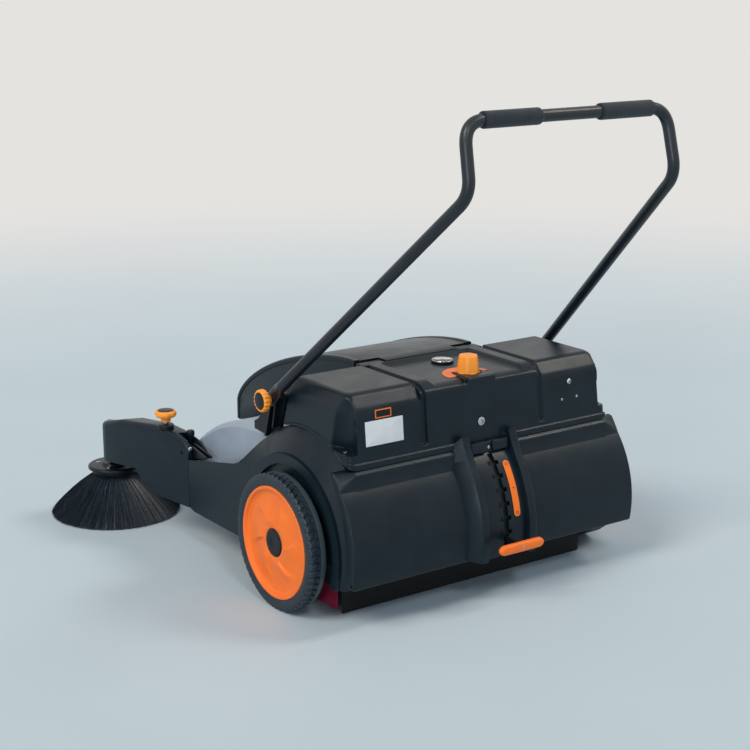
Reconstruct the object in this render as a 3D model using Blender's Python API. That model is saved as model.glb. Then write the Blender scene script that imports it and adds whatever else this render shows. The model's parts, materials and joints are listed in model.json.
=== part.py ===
"""Manual floor sweeper: a push-along machine with two driven cone brushes and a roller brush.

Metres, +Z up. The machine's front faces -Y and the user's left is +X. The wheel axle lies on the
line Y = 0 while the parts are modelled. At the end one empty moves everything so that the origin is
the middle of the footprint on the floor.
"""

import math

import bmesh
import bpy
from mathutils import Matrix, Vector

# Clearances
GAP = 0.0003
PIN_PLAY = 0.0004
RUN_GAP = 0.0015

# Wheels and axle
WHEEL_RADIUS = 0.150
TYRE_WIDTH = 0.042
WHEEL_TRACK = 0.836
HUB_RADIUS = 0.124
TREAD_DEPTH = 0.0038
TREAD_BLOCKS = 20
HUB_BORE_BOSS = 0.026
HUB_CAP_RADIUS = 0.031
HUB_CAP_DEPTH = 0.007
HUB_SEAT = 0.009
HUB_RIM_WALL = 0.0072
SPOKE_COUNT = 6
SPOKE_RELIEF = 0.0022
AXLE_RADIUS = 0.0125

# Wheel gear train
GEAR_MODULE = 0.006
RING_TEETH = 28
PINION_TEETH = 8
GEAR_WIDTH = 0.012
GEAR_OFFSET = 0.0125
LAYSHAFT_RADIUS = 0.008

# Roller brush and its swing arms
ROLLER_RADIUS = 0.130
ROLLER_Y = -0.300
ROLLER_FLOOR_GAP = 0.001
ROLLER_END_SPACE = 0.050
ROLLER_CORE_RADIUS = 0.040
ROLLER_ROOT_RADIUS = 0.070
ROLLER_ROWS = 8
ROLLER_TWIST = math.radians(50)
SWING_ARM_THICKNESS = 0.006
SWING_EYE_RADIUS = 0.018
PULLEY_RADIUS = 0.028
PULLEY_WIDTH = 0.012
BELT_THICKNESS = 0.003
BELT_WIDTH = 0.008

# Side frames
FRAME_INNER_X = 0.340
FRAME_OUTER_X = 0.388
FRAME_FRONT_Y = -0.4547
FRAME_BOTTOM_Z = 0.087
FRAME_FRONT_TOP_Z = 0.209
FRAME_MID_TOP = (-0.340, 0.234)
FRAME_NECK = [(-0.156, 0.323), (-0.180, 0.300), (-0.202, 0.279), (-0.222, 0.264), (-0.245, 0.2545), (-0.280, 0.247)]
FRAME_REAR_RADIUS = 0.200
FRAME_SEAM_ANGLE = math.radians(12)
FRAME_WALL = 0.004
FRAME_TRAY_REAR_Y = -0.235
FLARE_PROUD = 0.005
FLARE_X = 0.352
RIM_OUTER_RADIUS = 0.187
RIM_INNER_RADIUS = 0.165
RIM_X = 0.3950
RIM_RECESS_X = 0.383
FLARE_FRONT_ANGLE = math.radians(118)
FLARE_REAR_ANGLE = math.radians(47)
FLARE_STEPS = 10
FLARE_FADE = 6

# Brush hood
HOOD_HALF_WIDTH = 0.332
HOOD_ARC_RADIUS = 0.450
HOOD_PEAK_Y = -0.235
HOOD_PEAK_Z = 0.334
HOOD_FRONT_Y = -0.575
HOOD_REAR_Y = -0.150
HOOD_BOTTOM_Z = 0.142
HOOD_REAR_FOOT_Z = 0.200
HOOD_WALL = 0.004
HOOD_CORNER = 0.030

# Front cover
COVER_HALF_WIDTH = 0.165
COVER_FRONT_Y = -0.604
COVER_HINGE_Y = -0.0558
COVER_HINGE_Z = 0.4840
COVER_TOP_Z = 0.4915
COVER_FRONT_Z = 0.238
COVER_WALL = 0.004
COVER_FULLNESS = 1.274
COVER_STEPS = 14
COVER_NOTCH_X = 0.100
COVER_NOTCH_DEPTH = 0.0317
HINGE_BLOCK_X = (0.103, 0.146)
HINGE_BLOCK_REACH = 0.026
HINGE_BLOCK_Z = (0.470, 0.4870)
HINGE_PIN_LENGTH = 0.020

# Rear upper cover
REAR_TOP_Z = 0.490
REAR_CHAMFER_Z = 0.457
REAR_BOTTOM_Z = 0.349
REAR_RIM = 0.003
REAR_RIM_HEIGHT = 0.005
REAR_TOP_HALF = 0.334
REAR_MID_HALF = 0.352
REAR_LOW_HALF = 0.354
REAR_TOP_Y = (-0.055, 0.131)
REAR_MID_Y = (-0.066, 0.159)
REAR_LOW_Y = (-0.098, 0.169)
REAR_WALL = 0.004
GROOVE_X = 0.162
GROOVE_WIDTH = 0.018
GROOVE_DEPTH = 0.0055
TRAY_HALF_WIDTH = 0.128
TRAY_DEPTH = 0.009
TRAY_SLOPE = 0.013
TRAY_REAR_Y = 0.185
SCOOP_RADIUS = 0.034
SCOOP_CENTRE = (0.366, 0.149)
SCOOP_FLOOR_Z = 0.376
SCOOP_TOP_Z = 0.448
PAD_HALF_WIDTH = 0.037

# Controls on the top
KNOB_Y = 0.108
KNOB_BASE_RADIUS = 0.0255
KNOB_TOP_RADIUS = 0.0215
KNOB_HEIGHT = 0.045
KNOB_SPINDLE_RADIUS = 0.004
GAUGE_CENTRE = (-0.016, -0.004)
GAUGE_RADIUS = 0.0255
GAUGE_HEIGHT = 0.007

# Dust container
BIN_HALF_WIDTH = 0.388
BIN_TUB_HALF_WIDTH = 0.332
BIN_FRONT_Y = -0.035
BIN_BOTTOM_Z = 0.101
BIN_FRONT_TOP_Z = 0.113
BIN_BACK_RADIUS = 0.235
BIN_TOP_Z = 0.344
BIN_TOP_Y = 0.170
BIN_SHOULDER_ANGLE = math.radians(39)
BIN_WALL = 0.0045
BIN_WEB_HALF = 0.028
SPINE_PROUD = 0.015
SPINE_HALF_WIDTH = 0.056
RIB_PROUD = 0.028
RIB_CREST = 0.018
RIB_FLANK = 0.024
RIB_TOP = (0.186, 0.366)
GATE_BOTTOM_ANGLE = math.radians(-5)
GATE_TOP_ANGLE = math.radians(42)
GATE_HALF_WIDTH = 0.0045
GATE_NOTCH = 0.0125
GATE_NOTCHES = 6
BIN_TRAVEL = 0.300

# Rear lever
LEVER_HALF_THICKNESS = 0.003
LEVER_REST_ANGLE = math.radians(-2)
LEVER_TRAVEL = math.radians(38)
LEVER_STAND_OFF = 0.050
LEVER_EYE_RADIUS = 0.014
LEVER_PIN_RADIUS = 0.005
HANDLE_HALF_LENGTH = 0.061
HANDLE_HALF_HEIGHT = 0.0125
HANDLE_DEPTH = 0.016

# Cross members, ramp and seals
CROSS_TUBE_RADIUS = 0.0125
MID_TUBE_YZ = (-0.105, 0.285)
FRONT_BAR_YZ = (-0.510, 0.128)
FRONT_BAR_SIZE = (0.040, 0.020)
BAR_POCKET_DEPTH = 0.045
BAR_NECK = 0.020
RAMP_THICKNESS = 0.003
RAMP_GAP = 0.008
RAMP_START = math.radians(-62)
RAMP_END = math.radians(-20)
SEAL_Y = 0.110
SEAL_THICKNESS = 0.004
CLAMP_HEIGHT = 0.014
CLAMP_DEPTH = 0.018
FLAP_Y = (-0.036, 0.098)
FLAP_TOP_Z = 0.104
FLAP_THICKNESS = 0.003
FLAP_FLOOR_GAP = 0.006

# Handle
TUBE_RADIUS = 0.0125
PIVOT_Y = -0.100
PIVOT_Z = 0.435
BRACKET_REACH = 0.024
KINK = (0.267, 0.4414, 0.930)
TOP_CORNER = (0.2605, 0.4112, 1.064)
KINK_RADIUS = 0.060
CORNER_RADIUS = 0.042
GRIP_INNER = 0.077
GRIP_OUTER = 0.217
GRIP_RADIUS = 0.0168
FLAT_THICKNESS = 0.008
FLAT_HALF_WIDTH = 0.016
BRACKET_X = (0.342, 0.351)
BRACKET_HORN = [(-0.196, 0.366), (-0.211, 0.358), (-0.211, 0.340), (-0.170, 0.337)]
BOLT_RADIUS = 0.005
CLAMP_KNOB_RADIUS = 0.024
CLAMP_KNOB_DEPTH = 0.026

# Side brush arms
ARM_PIVOT = (0.3635, -0.480, 0.222)
ARM_YAW = math.radians(10.5)
ARM_REAR_Y = -0.4585
ARM_REAR_HALF = 0.0265
ARM_FRONT_HALF = 0.042
ARM_REACH = 0.309
ARM_ROUND_ALONG = 0.304
ARM_TOP_SLOPE = 0.14
ARM_PIN_RADIUS = 0.004
ARM_SLOT_HALF = 0.0155
ARM_LIFT = math.radians(18)
DISC_RADIUS = 0.066
DISC_Z = 0.112
DISC_THICKNESS = 0.012
CONE_TOP_RADIUS = 0.053
CONE_FOOT_RADIUS = 0.163
CONE_FLOOR_GAP = 0.001
STAR_KNOB_RADIUS = 0.027
STAR_KNOB_REACH = 0.100
STAR_KNOB_OFFSET = 0.014
STEM_RADIUS = 0.0055

# Front castor
CASTOR_Y = -0.512
CASTOR_WHEEL_RADIUS = 0.030
CASTOR_WHEEL_WIDTH = 0.020
CASTOR_TRAIL = 0.020
CASTOR_STEM_RADIUS = 0.008

# Values that follow from the ones above
AXLE_Z = WHEEL_RADIUS
WHEEL_X = WHEEL_TRACK / 2
ROLLER_LENGTH = 2 * (FRAME_INNER_X - ROLLER_END_SPACE)
TYRE_FACE = TYRE_WIDTH / 2
RING_RADIUS = GEAR_MODULE * RING_TEETH / 2
PINION_RADIUS = GEAR_MODULE * PINION_TEETH / 2
LAYSHAFT_Y = -(RING_RADIUS - PINION_RADIUS)
LAYSHAFT_Z = AXLE_Z
ROLLER_Z = ROLLER_RADIUS + ROLLER_FLOOR_GAP
TRAY_Z = REAR_TOP_Z - TRAY_DEPTH
FLARE_RADIUS = BIN_BACK_RADIUS + FLARE_PROUD
SPINE_RADIUS = BIN_BACK_RADIUS + SPINE_PROUD
RIB_RADIUS = BIN_BACK_RADIUS + RIB_PROUD
LEVER_RADIUS = SPINE_RADIUS + LEVER_STAND_OFF
PIVOT_HALF = BRACKET_X[1] + BRACKET_REACH
SWING_ARM_X = ROLLER_LENGTH / 2 + 0.028
PULLEY_X = ROLLER_LENGTH / 2 + 0.013
X_AXIS = Vector((1, 0, 0))
Y_AXIS = Vector((0, 1, 0))
Z_AXIS = Vector((0, 0, 1))


def clear_scene():
    for item in list(bpy.data.objects):
        bpy.data.objects.remove(item, do_unlink=True)


def make_material(name, colour, roughness, metallic=0.0):
    material = bpy.data.materials.new(name)
    material.use_nodes = True
    shader = material.node_tree.nodes["Principled BSDF"]
    shader.inputs["Base Color"].default_value = (*colour, 1.0)
    shader.inputs["Roughness"].default_value = roughness
    shader.inputs["Metallic"].default_value = metallic
    material.diffuse_color = (*colour, 1.0)
    return material


def add_empty(name, location, parent=None, yaw=0.0):
    empty = bpy.data.objects.new(name, None)
    bpy.context.scene.collection.objects.link(empty)
    empty.location = location
    empty.rotation_euler = (0, 0, yaw)
    empty.parent = parent
    return empty


def add_solid(name, bm, material=None, parent=None, location=(0, 0, 0), rotation=(0, 0, 0)):
    """Close a bmesh into an object with outward normals, smooth where it is round."""
    bmesh.ops.remove_doubles(bm, verts=bm.verts, dist=1e-6)
    bmesh.ops.dissolve_degenerate(bm, edges=bm.edges, dist=1e-7)
    bmesh.ops.recalc_face_normals(bm, faces=bm.faces)
    mesh = bpy.data.meshes.new(name)
    bm.to_mesh(mesh)
    bm.free()
    mesh.shade_smooth()
    mesh.set_sharp_from_angle(angle=math.radians(35))
    solid = bpy.data.objects.new(name, mesh)
    bpy.context.scene.collection.objects.link(solid)
    solid.location = location
    solid.rotation_euler = rotation
    solid.parent = parent
    if material:
        mesh.materials.append(material)
    return solid


def freeze(solid):
    """Turn an object's modifiers into its mesh."""
    graph = bpy.context.evaluated_depsgraph_get()
    graph.update()
    mesh = bpy.data.meshes.new_from_object(solid.evaluated_get(graph))
    bm = bmesh.new()
    bm.from_mesh(mesh)
    bmesh.ops.remove_doubles(bm, verts=bm.verts, dist=1e-5)
    bmesh.ops.dissolve_degenerate(bm, edges=bm.edges, dist=1e-5)
    bm.to_mesh(mesh)
    bm.free()
    solid.modifiers.clear()
    solid.data = mesh
    mesh.shade_smooth()
    mesh.set_sharp_from_angle(angle=math.radians(35))


def combine(solid, tools, operation):
    """Boolean the tools, made in the solid's own frame, into the solid and remove them."""
    for tool in tools:
        tool.parent = solid.parent
        tool.location = solid.location
        tool.rotation_euler = solid.rotation_euler
        modifier = solid.modifiers.new(operation.title(), "BOOLEAN")
        modifier.operation = operation
        modifier.object = tool
        tool.hide_render = True
        tool.display_type = "WIRE"
    freeze(solid)
    for tool in tools:
        bpy.data.objects.remove(tool, do_unlink=True)


def cut(solid, *tools):
    combine(solid, tools, "DIFFERENCE")


def join(solid, *tools):
    combine(solid, tools, "UNION")


def bevel(solid, width, segments=2, angle=40):
    modifier = solid.modifiers.new("Bevel", "BEVEL")
    modifier.width = width
    modifier.segments = segments
    modifier.limit_method = "ANGLE"
    modifier.angle_limit = math.radians(angle)
    freeze(solid)


def mirrored(solid, name, parent=None):
    """A mirror image of the solid across X = 0, as an object of its own."""
    bm = bmesh.new()
    bm.from_mesh(solid.data)
    bmesh.ops.scale(bm, vec=(-1, 1, 1), verts=bm.verts)
    twin = add_solid(name, bm, parent=parent)
    for material in solid.data.materials:
        twin.data.materials.append(material)
    return twin


def arc(centre, radius, start, end, steps):
    """Points of an arc in a plane, as pairs."""
    points = []
    for i in range(steps + 1):
        angle = start + (end - start) * i / steps
        points.append((centre[0] + radius * math.cos(angle), centre[1] + radius * math.sin(angle)))
    return points


def prism(outline, low, high, axis="X", holes=()):
    """Extrude a closed outline, with holes, from low to high along an axis.

    Outline pairs are (Y, Z) for axis X, (X, Z) for axis Y and (X, Y) for axis Z.
    """
    place = {
        "X": lambda a, b, c: Vector((c, a, b)),
        "Y": lambda a, b, c: Vector((a, c, b)),
        "Z": lambda a, b, c: Vector((a, b, c)),
    }[axis]
    bm = bmesh.new()
    edges = []
    for loop in (outline, *holes):
        verts = [bm.verts.new(place(a, b, low)) for a, b in loop]
        for i, vert in enumerate(verts):
            edges.append(bm.edges.new((vert, verts[(i + 1) % len(verts)])))
    bmesh.ops.triangle_fill(bm, use_beauty=True, use_dissolve=False, edges=edges)
    pushed = bmesh.ops.extrude_face_region(bm, geom=list(bm.faces))
    moved = [item for item in pushed["geom"] if isinstance(item, bmesh.types.BMVert)]
    bmesh.ops.translate(bm, verts=moved, vec=place(0, 0, high - low))
    return bm


def box(low, high):
    outline = [(low[0], low[1]), (high[0], low[1]), (high[0], high[1]), (low[0], high[1])]
    return prism(outline, low[2], high[2], "Z")


def turned(profile, steps=32, axis=X_AXIS, centre=(0, 0, 0), closed=True, sweep=2 * math.pi):
    """Spin a profile of (radius, distance along the axis) pairs about an axis.

    An open profile starts and ends on the axis. A part turn gets its two end faces.
    """
    side = Z_AXIS if axis != Z_AXIS else X_AXIS
    centre = Vector(centre)
    bm = bmesh.new()
    verts = [bm.verts.new(centre + side * radius + axis * along) for radius, along in profile]
    edges = [bm.edges.new((verts[i], verts[i + 1])) for i in range(len(verts) - 1)]
    if closed:
        edges.append(bm.edges.new((verts[-1], verts[0])))
    whole = abs(sweep) > 6.28
    geometry = verts + edges
    if not whole:
        geometry = [bm.faces.new(verts)]
    bmesh.ops.spin(bm, geom=geometry, cent=centre, axis=axis, angle=sweep, steps=steps,
                   use_merge=whole, use_duplicate=False)
    return bm


def rod(radius, low, high, axis=X_AXIS, centre=(0, 0, 0), steps=24):
    """A plain round bar between two distances along an axis."""
    return turned([(0, low), (radius, low), (radius, high), (0, high)], steps, axis, centre,
                  closed=False)


def loft(rings, around=False):
    """Skin a row of equal rings. Ends are closed flat unless the row itself goes around."""
    bm = bmesh.new()
    rows = [[bm.verts.new(point) for point in ring] for ring in rings]
    count = len(rings[0])
    pairs = list(zip(rows, rows[1:]))
    if around:
        pairs.append((rows[-1], rows[0]))
    for first, second in pairs:
        for i in range(count):
            j = (i + 1) % count
            bm.faces.new((first[i], first[j], second[j], second[i]))
    if not around:
        for row in (rows[0], rows[-1]):
            cap = bm.faces.new(row)
            cap.normal_update()
            bmesh.ops.triangulate(bm, faces=[cap])
    return bm


def rounded_rectangle(half_width, low, high, radius, steps=3):
    """A closed outline of (across, up) pairs, rounded at its two upper corners."""
    right = arc((half_width - radius, high - radius), radius, 0, math.pi / 2, steps)
    left = [(-a, b) for a, b in reversed(right)]
    return [(half_width, low), *right, *left, (-half_width, low)]


def on_axle(radius, angle):
    """A (Y, Z) point at a radius and an angle about the wheel axle, from the rear upwards."""
    return (radius * math.cos(angle), AXLE_Z + radius * math.sin(angle))


def gear_outline(teeth, tip, root, centre=(0, 0), phase=0.0, fill=0.40):
    """Trapezoid teeth around a circle. tip and root are radii, fill is a tooth's share at mid depth."""
    pitch = 2 * math.pi / teeth
    points = []
    for i in range(teeth):
        middle = phase + i * pitch
        for radius, share in ((root, -0.62), (tip, -0.36), (tip, 0.36), (root, 0.62)):
            angle = middle + share * fill * pitch * 1.1
            points.append((centre[0] + radius * math.cos(angle), centre[1] + radius * math.sin(angle)))
    return points


def make_tyre(name, material, parent):
    """A tyre whose middle tread is cut into blocks between two whole shoulder rings."""
    outer = WHEEL_RADIUS
    pitch = 2 * math.pi / TREAD_BLOCKS
    seat = (HUB_RADIUS + GAP) / math.cos(0.26 * pitch)
    floor = outer - TREAD_DEPTH
    bead = TYRE_FACE - 0.002
    sides = [(seat, -bead), (seat, bead), (outer - 0.004, TYRE_FACE), (outer, TYRE_FACE - 0.010)]
    back = [(outer, -TYRE_FACE + 0.010), (outer - 0.004, -TYRE_FACE)]
    rings = []
    for i in range(TREAD_BLOCKS):
        for share, top in ((0.00, floor), (0.03, outer), (0.55, outer), (0.58, floor)):
            angle = (i + share) * pitch
            profile = sides + [(top, TYRE_FACE - 0.0115), (top, -TYRE_FACE + 0.0115)] + back
            rings.append([Vector((x, r * math.cos(angle), r * math.sin(angle))) for r, x in profile])
    return add_solid(name, loft(rings, around=True), material, parent)


def make_hub(name, material, parent):
    """A dished hub with swirled spokes standing out of its web and a bearing bore."""
    rim = HUB_RADIUS
    bore = AXLE_RADIUS + PIN_PLAY
    face = TYRE_FACE - 0.0005
    cap_seat = HUB_CAP_RADIUS + GAP
    steps = 30
    rings = []
    for i in range(steps):
        angle = 2 * math.pi * i / steps

        def relief(radius):
            swirl = 1.1 * (radius - cap_seat) / (rim - cap_seat)
            wave = math.cos(SPOKE_COUNT * (angle - swirl))
            return SPOKE_RELIEF * max(0.0, wave) ** 2

        profile = [(bore, HUB_SEAT), (cap_seat, HUB_SEAT), (cap_seat, 0.0170), (0.046, 0.0150 + relief(0.046)),
                   (0.072, 0.0125 + relief(0.072)), (0.098, 0.0120 + relief(0.098)), (rim - 0.011, 0.0150),
                   (rim - 0.006, face), (rim, face), (rim, -face), (rim - HUB_RIM_WALL, -face),
                   (rim - HUB_RIM_WALL, 0.006), (HUB_BORE_BOSS, 0.000), (HUB_BORE_BOSS, -0.022), (bore, -0.022)]
        rings.append([Vector((x, r * math.cos(angle), r * math.sin(angle))) for r, x in profile])
    return add_solid(name, loft(rings, around=True), material, parent)


def make_hub_cap(name, material, parent):
    """The dark cap over the axle end, seated in the hub's middle."""
    low = HUB_SEAT + GAP
    high = low + HUB_CAP_DEPTH
    profile = [(0, low), (HUB_CAP_RADIUS, low), (HUB_CAP_RADIUS, high), (HUB_CAP_RADIUS - 0.004, high + 0.002),
               (0.012, high + 0.002), (0.010, high), (0, high)]
    return add_solid(name, turned(profile, 24, closed=False), material, parent)


def make_ring_gear(name, material, parent):
    """Internal teeth that the wheel drives the layshaft with, seated inside the hub's rim."""
    seat = HUB_RADIUS - HUB_RIM_WALL - GAP
    tip = RING_RADIUS - 0.8 * GEAR_MODULE
    root = RING_RADIUS + GEAR_MODULE
    teeth = gear_outline(RING_TEETH, tip, root, phase=math.pi)
    outer = arc((0, 0), seat, 0, 2 * math.pi * 29 / 30, 29)
    low = -TYRE_FACE + 0.002
    return add_solid(name, prism(outer, low, low + GEAR_WIDTH, "X", holes=[teeth]), material, parent)


def make_pinion(name, material, parent, x):
    """A pinion that keeps mesh with a wheel's ring gear. A tooth gap faces the ring's tooth."""
    tip = PINION_RADIUS + 0.8 * GEAR_MODULE
    root = PINION_RADIUS - GEAR_MODULE
    outline = gear_outline(PINION_TEETH, tip, root, phase=math.pi + math.pi / PINION_TEETH)
    bore = arc((0, 0), LAYSHAFT_RADIUS + GAP, 0, 2 * math.pi * 11 / 12, 11)
    half = GEAR_WIDTH / 2
    return add_solid(name, prism(outline, x - half, x + half, "X", holes=[bore]), material, parent)


def make_wheels(root, looks):
    for side, sign in (("left", 1), ("right", -1)):
        yaw = 0.0 if sign > 0 else math.pi
        axis = add_empty(f"wheel_{side}_axis", (sign * WHEEL_X, 0, AXLE_Z), root, yaw)
        make_tyre(f"tyre_{side}", looks["tyre"], axis)
        make_hub(f"hub_{side}", looks["orange"], axis)
        make_hub_cap(f"hub_cap_{side}", looks["dark"], axis)
        if sign > 0:
            make_ring_gear("ring_gear", looks["nylon"], axis)


def make_stub_axle(name, material, root):
    """A steel stub with a flange against the frame's inner wall, running out into the wheel."""
    inner = FRAME_INNER_X - GAP
    end = WHEEL_X + 0.0045
    profile = [(0, inner - 0.006), (0.028, inner - 0.006), (0.028, inner), (AXLE_RADIUS, inner),
               (AXLE_RADIUS, end - 0.002), (AXLE_RADIUS - 0.002, end), (0, end)]
    bm = turned(profile, 24, centre=(0, 0, AXLE_Z), closed=False)
    return add_solid(name, bm, material, root)


def make_layshaft(root, looks):
    axis = add_empty("layshaft_axis", (0, LAYSHAFT_Y, LAYSHAFT_Z), root)
    gear_x = WHEEL_X - GEAR_OFFSET + GEAR_WIDTH / 2 - 0.0025
    end = gear_x + GEAR_WIDTH / 2 + 0.002
    shaft = add_solid("layshaft", rod(LAYSHAFT_RADIUS, -RIM_RECESS_X + 0.002, end, steps=16), looks["steel"], axis)
    make_pinion("pinion", looks["nylon"], axis, gear_x)
    make_pulley("layshaft_pulley", looks["nylon"], axis, LAYSHAFT_RADIUS)
    return shaft


def make_pulley(name, material, parent, shaft_radius):
    """A flanged belt pulley on a shaft."""
    half = PULLEY_WIDTH / 2
    groove = PULLEY_RADIUS
    flange = PULLEY_RADIUS + 0.004
    bore = shaft_radius + GAP
    low = PULLEY_X - half
    high = PULLEY_X + half
    profile = [(bore, low), (flange, low), (flange, low + 0.0015), (groove, low + 0.0017),
               (groove, high - 0.0017), (flange, high - 0.0015), (flange, high), (bore, high)]
    return add_solid(name, turned(profile, 20), material, parent)


def stadium(first, second, radius, steps=12):
    """The outline of a band around two equal circles."""
    line = Vector(second) - Vector(first)
    tilt = math.atan2(line.y, line.x)
    near = arc(first, radius, tilt + math.pi / 2, tilt + 3 * math.pi / 2, steps)
    far = arc(second, radius, tilt - math.pi / 2, tilt + math.pi / 2, steps)
    return near + far


def make_carriage(root, looks):
    """Swing arms on the layshaft that carry the roller brush, its belt and its pulley."""
    axis = add_empty("carriage_axis", (0, LAYSHAFT_Y, LAYSHAFT_Z), root)
    brush = (ROLLER_Y - LAYSHAFT_Y, ROLLER_Z - LAYSHAFT_Z)
    shaft_hole = arc((0, 0), LAYSHAFT_RADIUS + PIN_PLAY, 0, 2 * math.pi * 15 / 16, 15)
    brush_hole = arc(brush, LAYSHAFT_RADIUS + PIN_PLAY, 0, 2 * math.pi * 15 / 16, 15)
    outline = stadium((0, 0), brush, SWING_EYE_RADIUS, 8)
    half = SWING_ARM_THICKNESS / 2
    for side, sign in (("left", 1), ("right", -1)):
        x = sign * SWING_ARM_X
        bm = prism(outline, x - half, x + half, "X", holes=[shaft_hole, brush_hole])
        add_solid(f"swing_arm_{side}", bm, looks["steel"], axis)
    inner = stadium((0, 0), brush, PULLEY_RADIUS + GAP)
    outer = stadium((0, 0), brush, PULLEY_RADIUS + GAP + BELT_THICKNESS)
    low = PULLEY_X - BELT_WIDTH / 2
    add_solid("drive_belt", prism(outer, low, low + BELT_WIDTH, "X", holes=[inner]), looks["rubber"], axis)
    return axis, brush


def make_roller(carriage, brush, looks):
    """The roller brush: a moulded core inside twisted V rows of bristle."""
    axis = add_empty("roller_axis", (0, *brush), carriage)
    half = ROLLER_LENGTH / 2
    end = SWING_ARM_X + SWING_ARM_THICKNESS / 2 + 0.002
    core = ROLLER_CORE_RADIUS
    journal = LAYSHAFT_RADIUS
    profile = [(0, -end), (journal, -end), (journal, -half - 0.002), (core, -half - 0.002),
               (core, half + 0.002), (journal, half + 0.002), (journal, end), (0, end)]
    add_solid("roller_core", turned(profile, 20, closed=False), looks["dark"], axis)
    make_pulley("roller_pulley", looks["nylon"], axis, journal)
    stations = 8
    rings = []
    for i in range(stations + 1):
        x = -half + ROLLER_LENGTH * i / stations
        turn = ROLLER_TWIST * abs(x) / half
        ring = []
        for k in range(ROLLER_ROWS * 3):
            row, part = divmod(k, 3)
            angle = 2 * math.pi * (row + (0.24, 0.50, 0.76)[part]) / ROLLER_ROWS + turn
            radius = ROLLER_RADIUS if part == 1 else ROLLER_ROOT_RADIUS + 0.030 * (part == 2)
            ring.append(Vector((x, radius * math.cos(angle), radius * math.sin(angle))))
        rings.append(ring)
    bore = (core + GAP) / math.cos(0.26 * 2 * math.pi / ROLLER_ROWS)
    for x in (half, -half):
        ring = []
        for k in range(ROLLER_ROWS * 3):
            row, part = divmod(k, 3)
            angle = 2 * math.pi * (row + (0.24, 0.50, 0.76)[part]) / ROLLER_ROWS + ROLLER_TWIST
            ring.append(Vector((x, bore * math.cos(angle), bore * math.sin(angle))))
        rings.append(ring)
    add_solid("roller_bristles", loft(rings, around=True), looks["bristle"], axis)


def seam_radius(angle):
    """Radius of the seam between side frame and dust container: low at the back, out to the flare's edge."""
    share = (angle - FRAME_SEAM_ANGLE) / (FLARE_REAR_ANGLE - FRAME_SEAM_ANGLE)
    share = min(1.0, max(0.0, share))
    return FRAME_REAR_RADIUS + (FLARE_RADIUS - FRAME_REAR_RADIUS) * share ** 2


def frame_outline():
    """The side frame's outline in (Y, Z): rear seam, flare circle, hollow neck, sloping front top edge."""
    bottom = math.asin((FRAME_BOTTOM_Z - AXLE_Z) / FRAME_REAR_RADIUS)
    rear = []
    for i in range(11):
        angle = bottom + (FLARE_REAR_ANGLE - bottom) * i / 11
        rear.append(on_axle(seam_radius(angle), angle))
    flare = arc((0, AXLE_Z), FLARE_RADIUS, FLARE_REAR_ANGLE, FLARE_FRONT_ANGLE, FLARE_STEPS)
    front = [*FRAME_NECK, FRAME_MID_TOP, (FRAME_FRONT_Y, FRAME_FRONT_TOP_Z),
             (FRAME_FRONT_Y, FRAME_BOTTOM_Z + 0.006), (FRAME_FRONT_Y + 0.02, FRAME_BOTTOM_Z)]
    return rear + flare + front


def flare_rings(far):
    """Rings of the cutter that leaves the cone flare. Towards the front the cone fades into the flat wall."""
    inner = RIM_OUTER_RADIUS + 0.0015
    outer = FLARE_RADIUS + 0.004
    pitch = (FLARE_FRONT_ANGLE - FLARE_REAR_ANGLE) / FLARE_STEPS
    rings = []
    for i in range(-10, FLARE_STEPS + FLARE_FADE):
        angle = FLARE_REAR_ANGLE + i * pitch
        fade = min(1.0, (FLARE_STEPS + FLARE_FADE - 1 - i) / FLARE_FADE)
        fade = fade * fade * (3 - 2 * fade)
        fall = (FRAME_OUTER_X - FLARE_X) * fade * (outer - inner) / (FLARE_RADIUS - inner)
        corners = ((inner, FRAME_OUTER_X + 0.0005), (inner, far), (outer, far), (outer, FRAME_OUTER_X + 0.0005 - fall))
        rings.append([Vector((x, r * math.cos(angle), AXLE_Z + r * math.sin(angle))) for r, x in corners])
    return rings


def make_side_frame(root, looks):
    """A moulded side frame: flat front tray, cone flare over the wheel, rim ring, axle boss."""
    far = 0.43
    axle = arc((0, AXLE_Z), AXLE_RADIUS + GAP, 0, 2 * math.pi * 23 / 24, 23)
    shaft = arc((LAYSHAFT_Y, LAYSHAFT_Z), LAYSHAFT_RADIUS + PIN_PLAY, 0, 2 * math.pi * 15 / 16, 15)
    frame = add_solid("side_frame_left", prism(frame_outline(), FRAME_INNER_X, RIM_X, holes=[axle, shaft]),
                      looks["body"], root)
    centre = (0, 0, AXLE_Z)
    face = add_solid("face", turned([(RIM_OUTER_RADIUS, FRAME_OUTER_X), (0.7, FRAME_OUTER_X), (0.7, far),
                                     (RIM_OUTER_RADIUS, far)], 40, centre=centre))
    flare = add_solid("flare", loft(flare_rings(far)))
    recess = add_solid("recess", rod(RIM_INNER_RADIUS, RIM_RECESS_X, far, centre=centre, steps=40))
    low = FRAME_BOTTOM_Z + 0.012
    tray = [(FRAME_FRONT_Y + 0.006, low), (FRAME_TRAY_REAR_Y, low), (FRAME_TRAY_REAR_Y, 0.32),
            (FRAME_FRONT_Y + 0.006, 0.32)]
    pocket = add_solid("pocket", prism(tray, FRAME_INNER_X - 0.02, FRAME_OUTER_X - FRAME_WALL))
    ribbed = [(-0.222, low + 0.001), (-0.105, low + 0.001), (-0.105, 0.215), (-0.222, 0.200)]
    second = add_solid("second", prism(ribbed, FRAME_INNER_X - 0.02, RIM_RECESS_X - FRAME_WALL))
    cut(frame, face, flare, recess, pocket, second)
    mirrored(frame, "side_frame_right", root)


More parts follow.
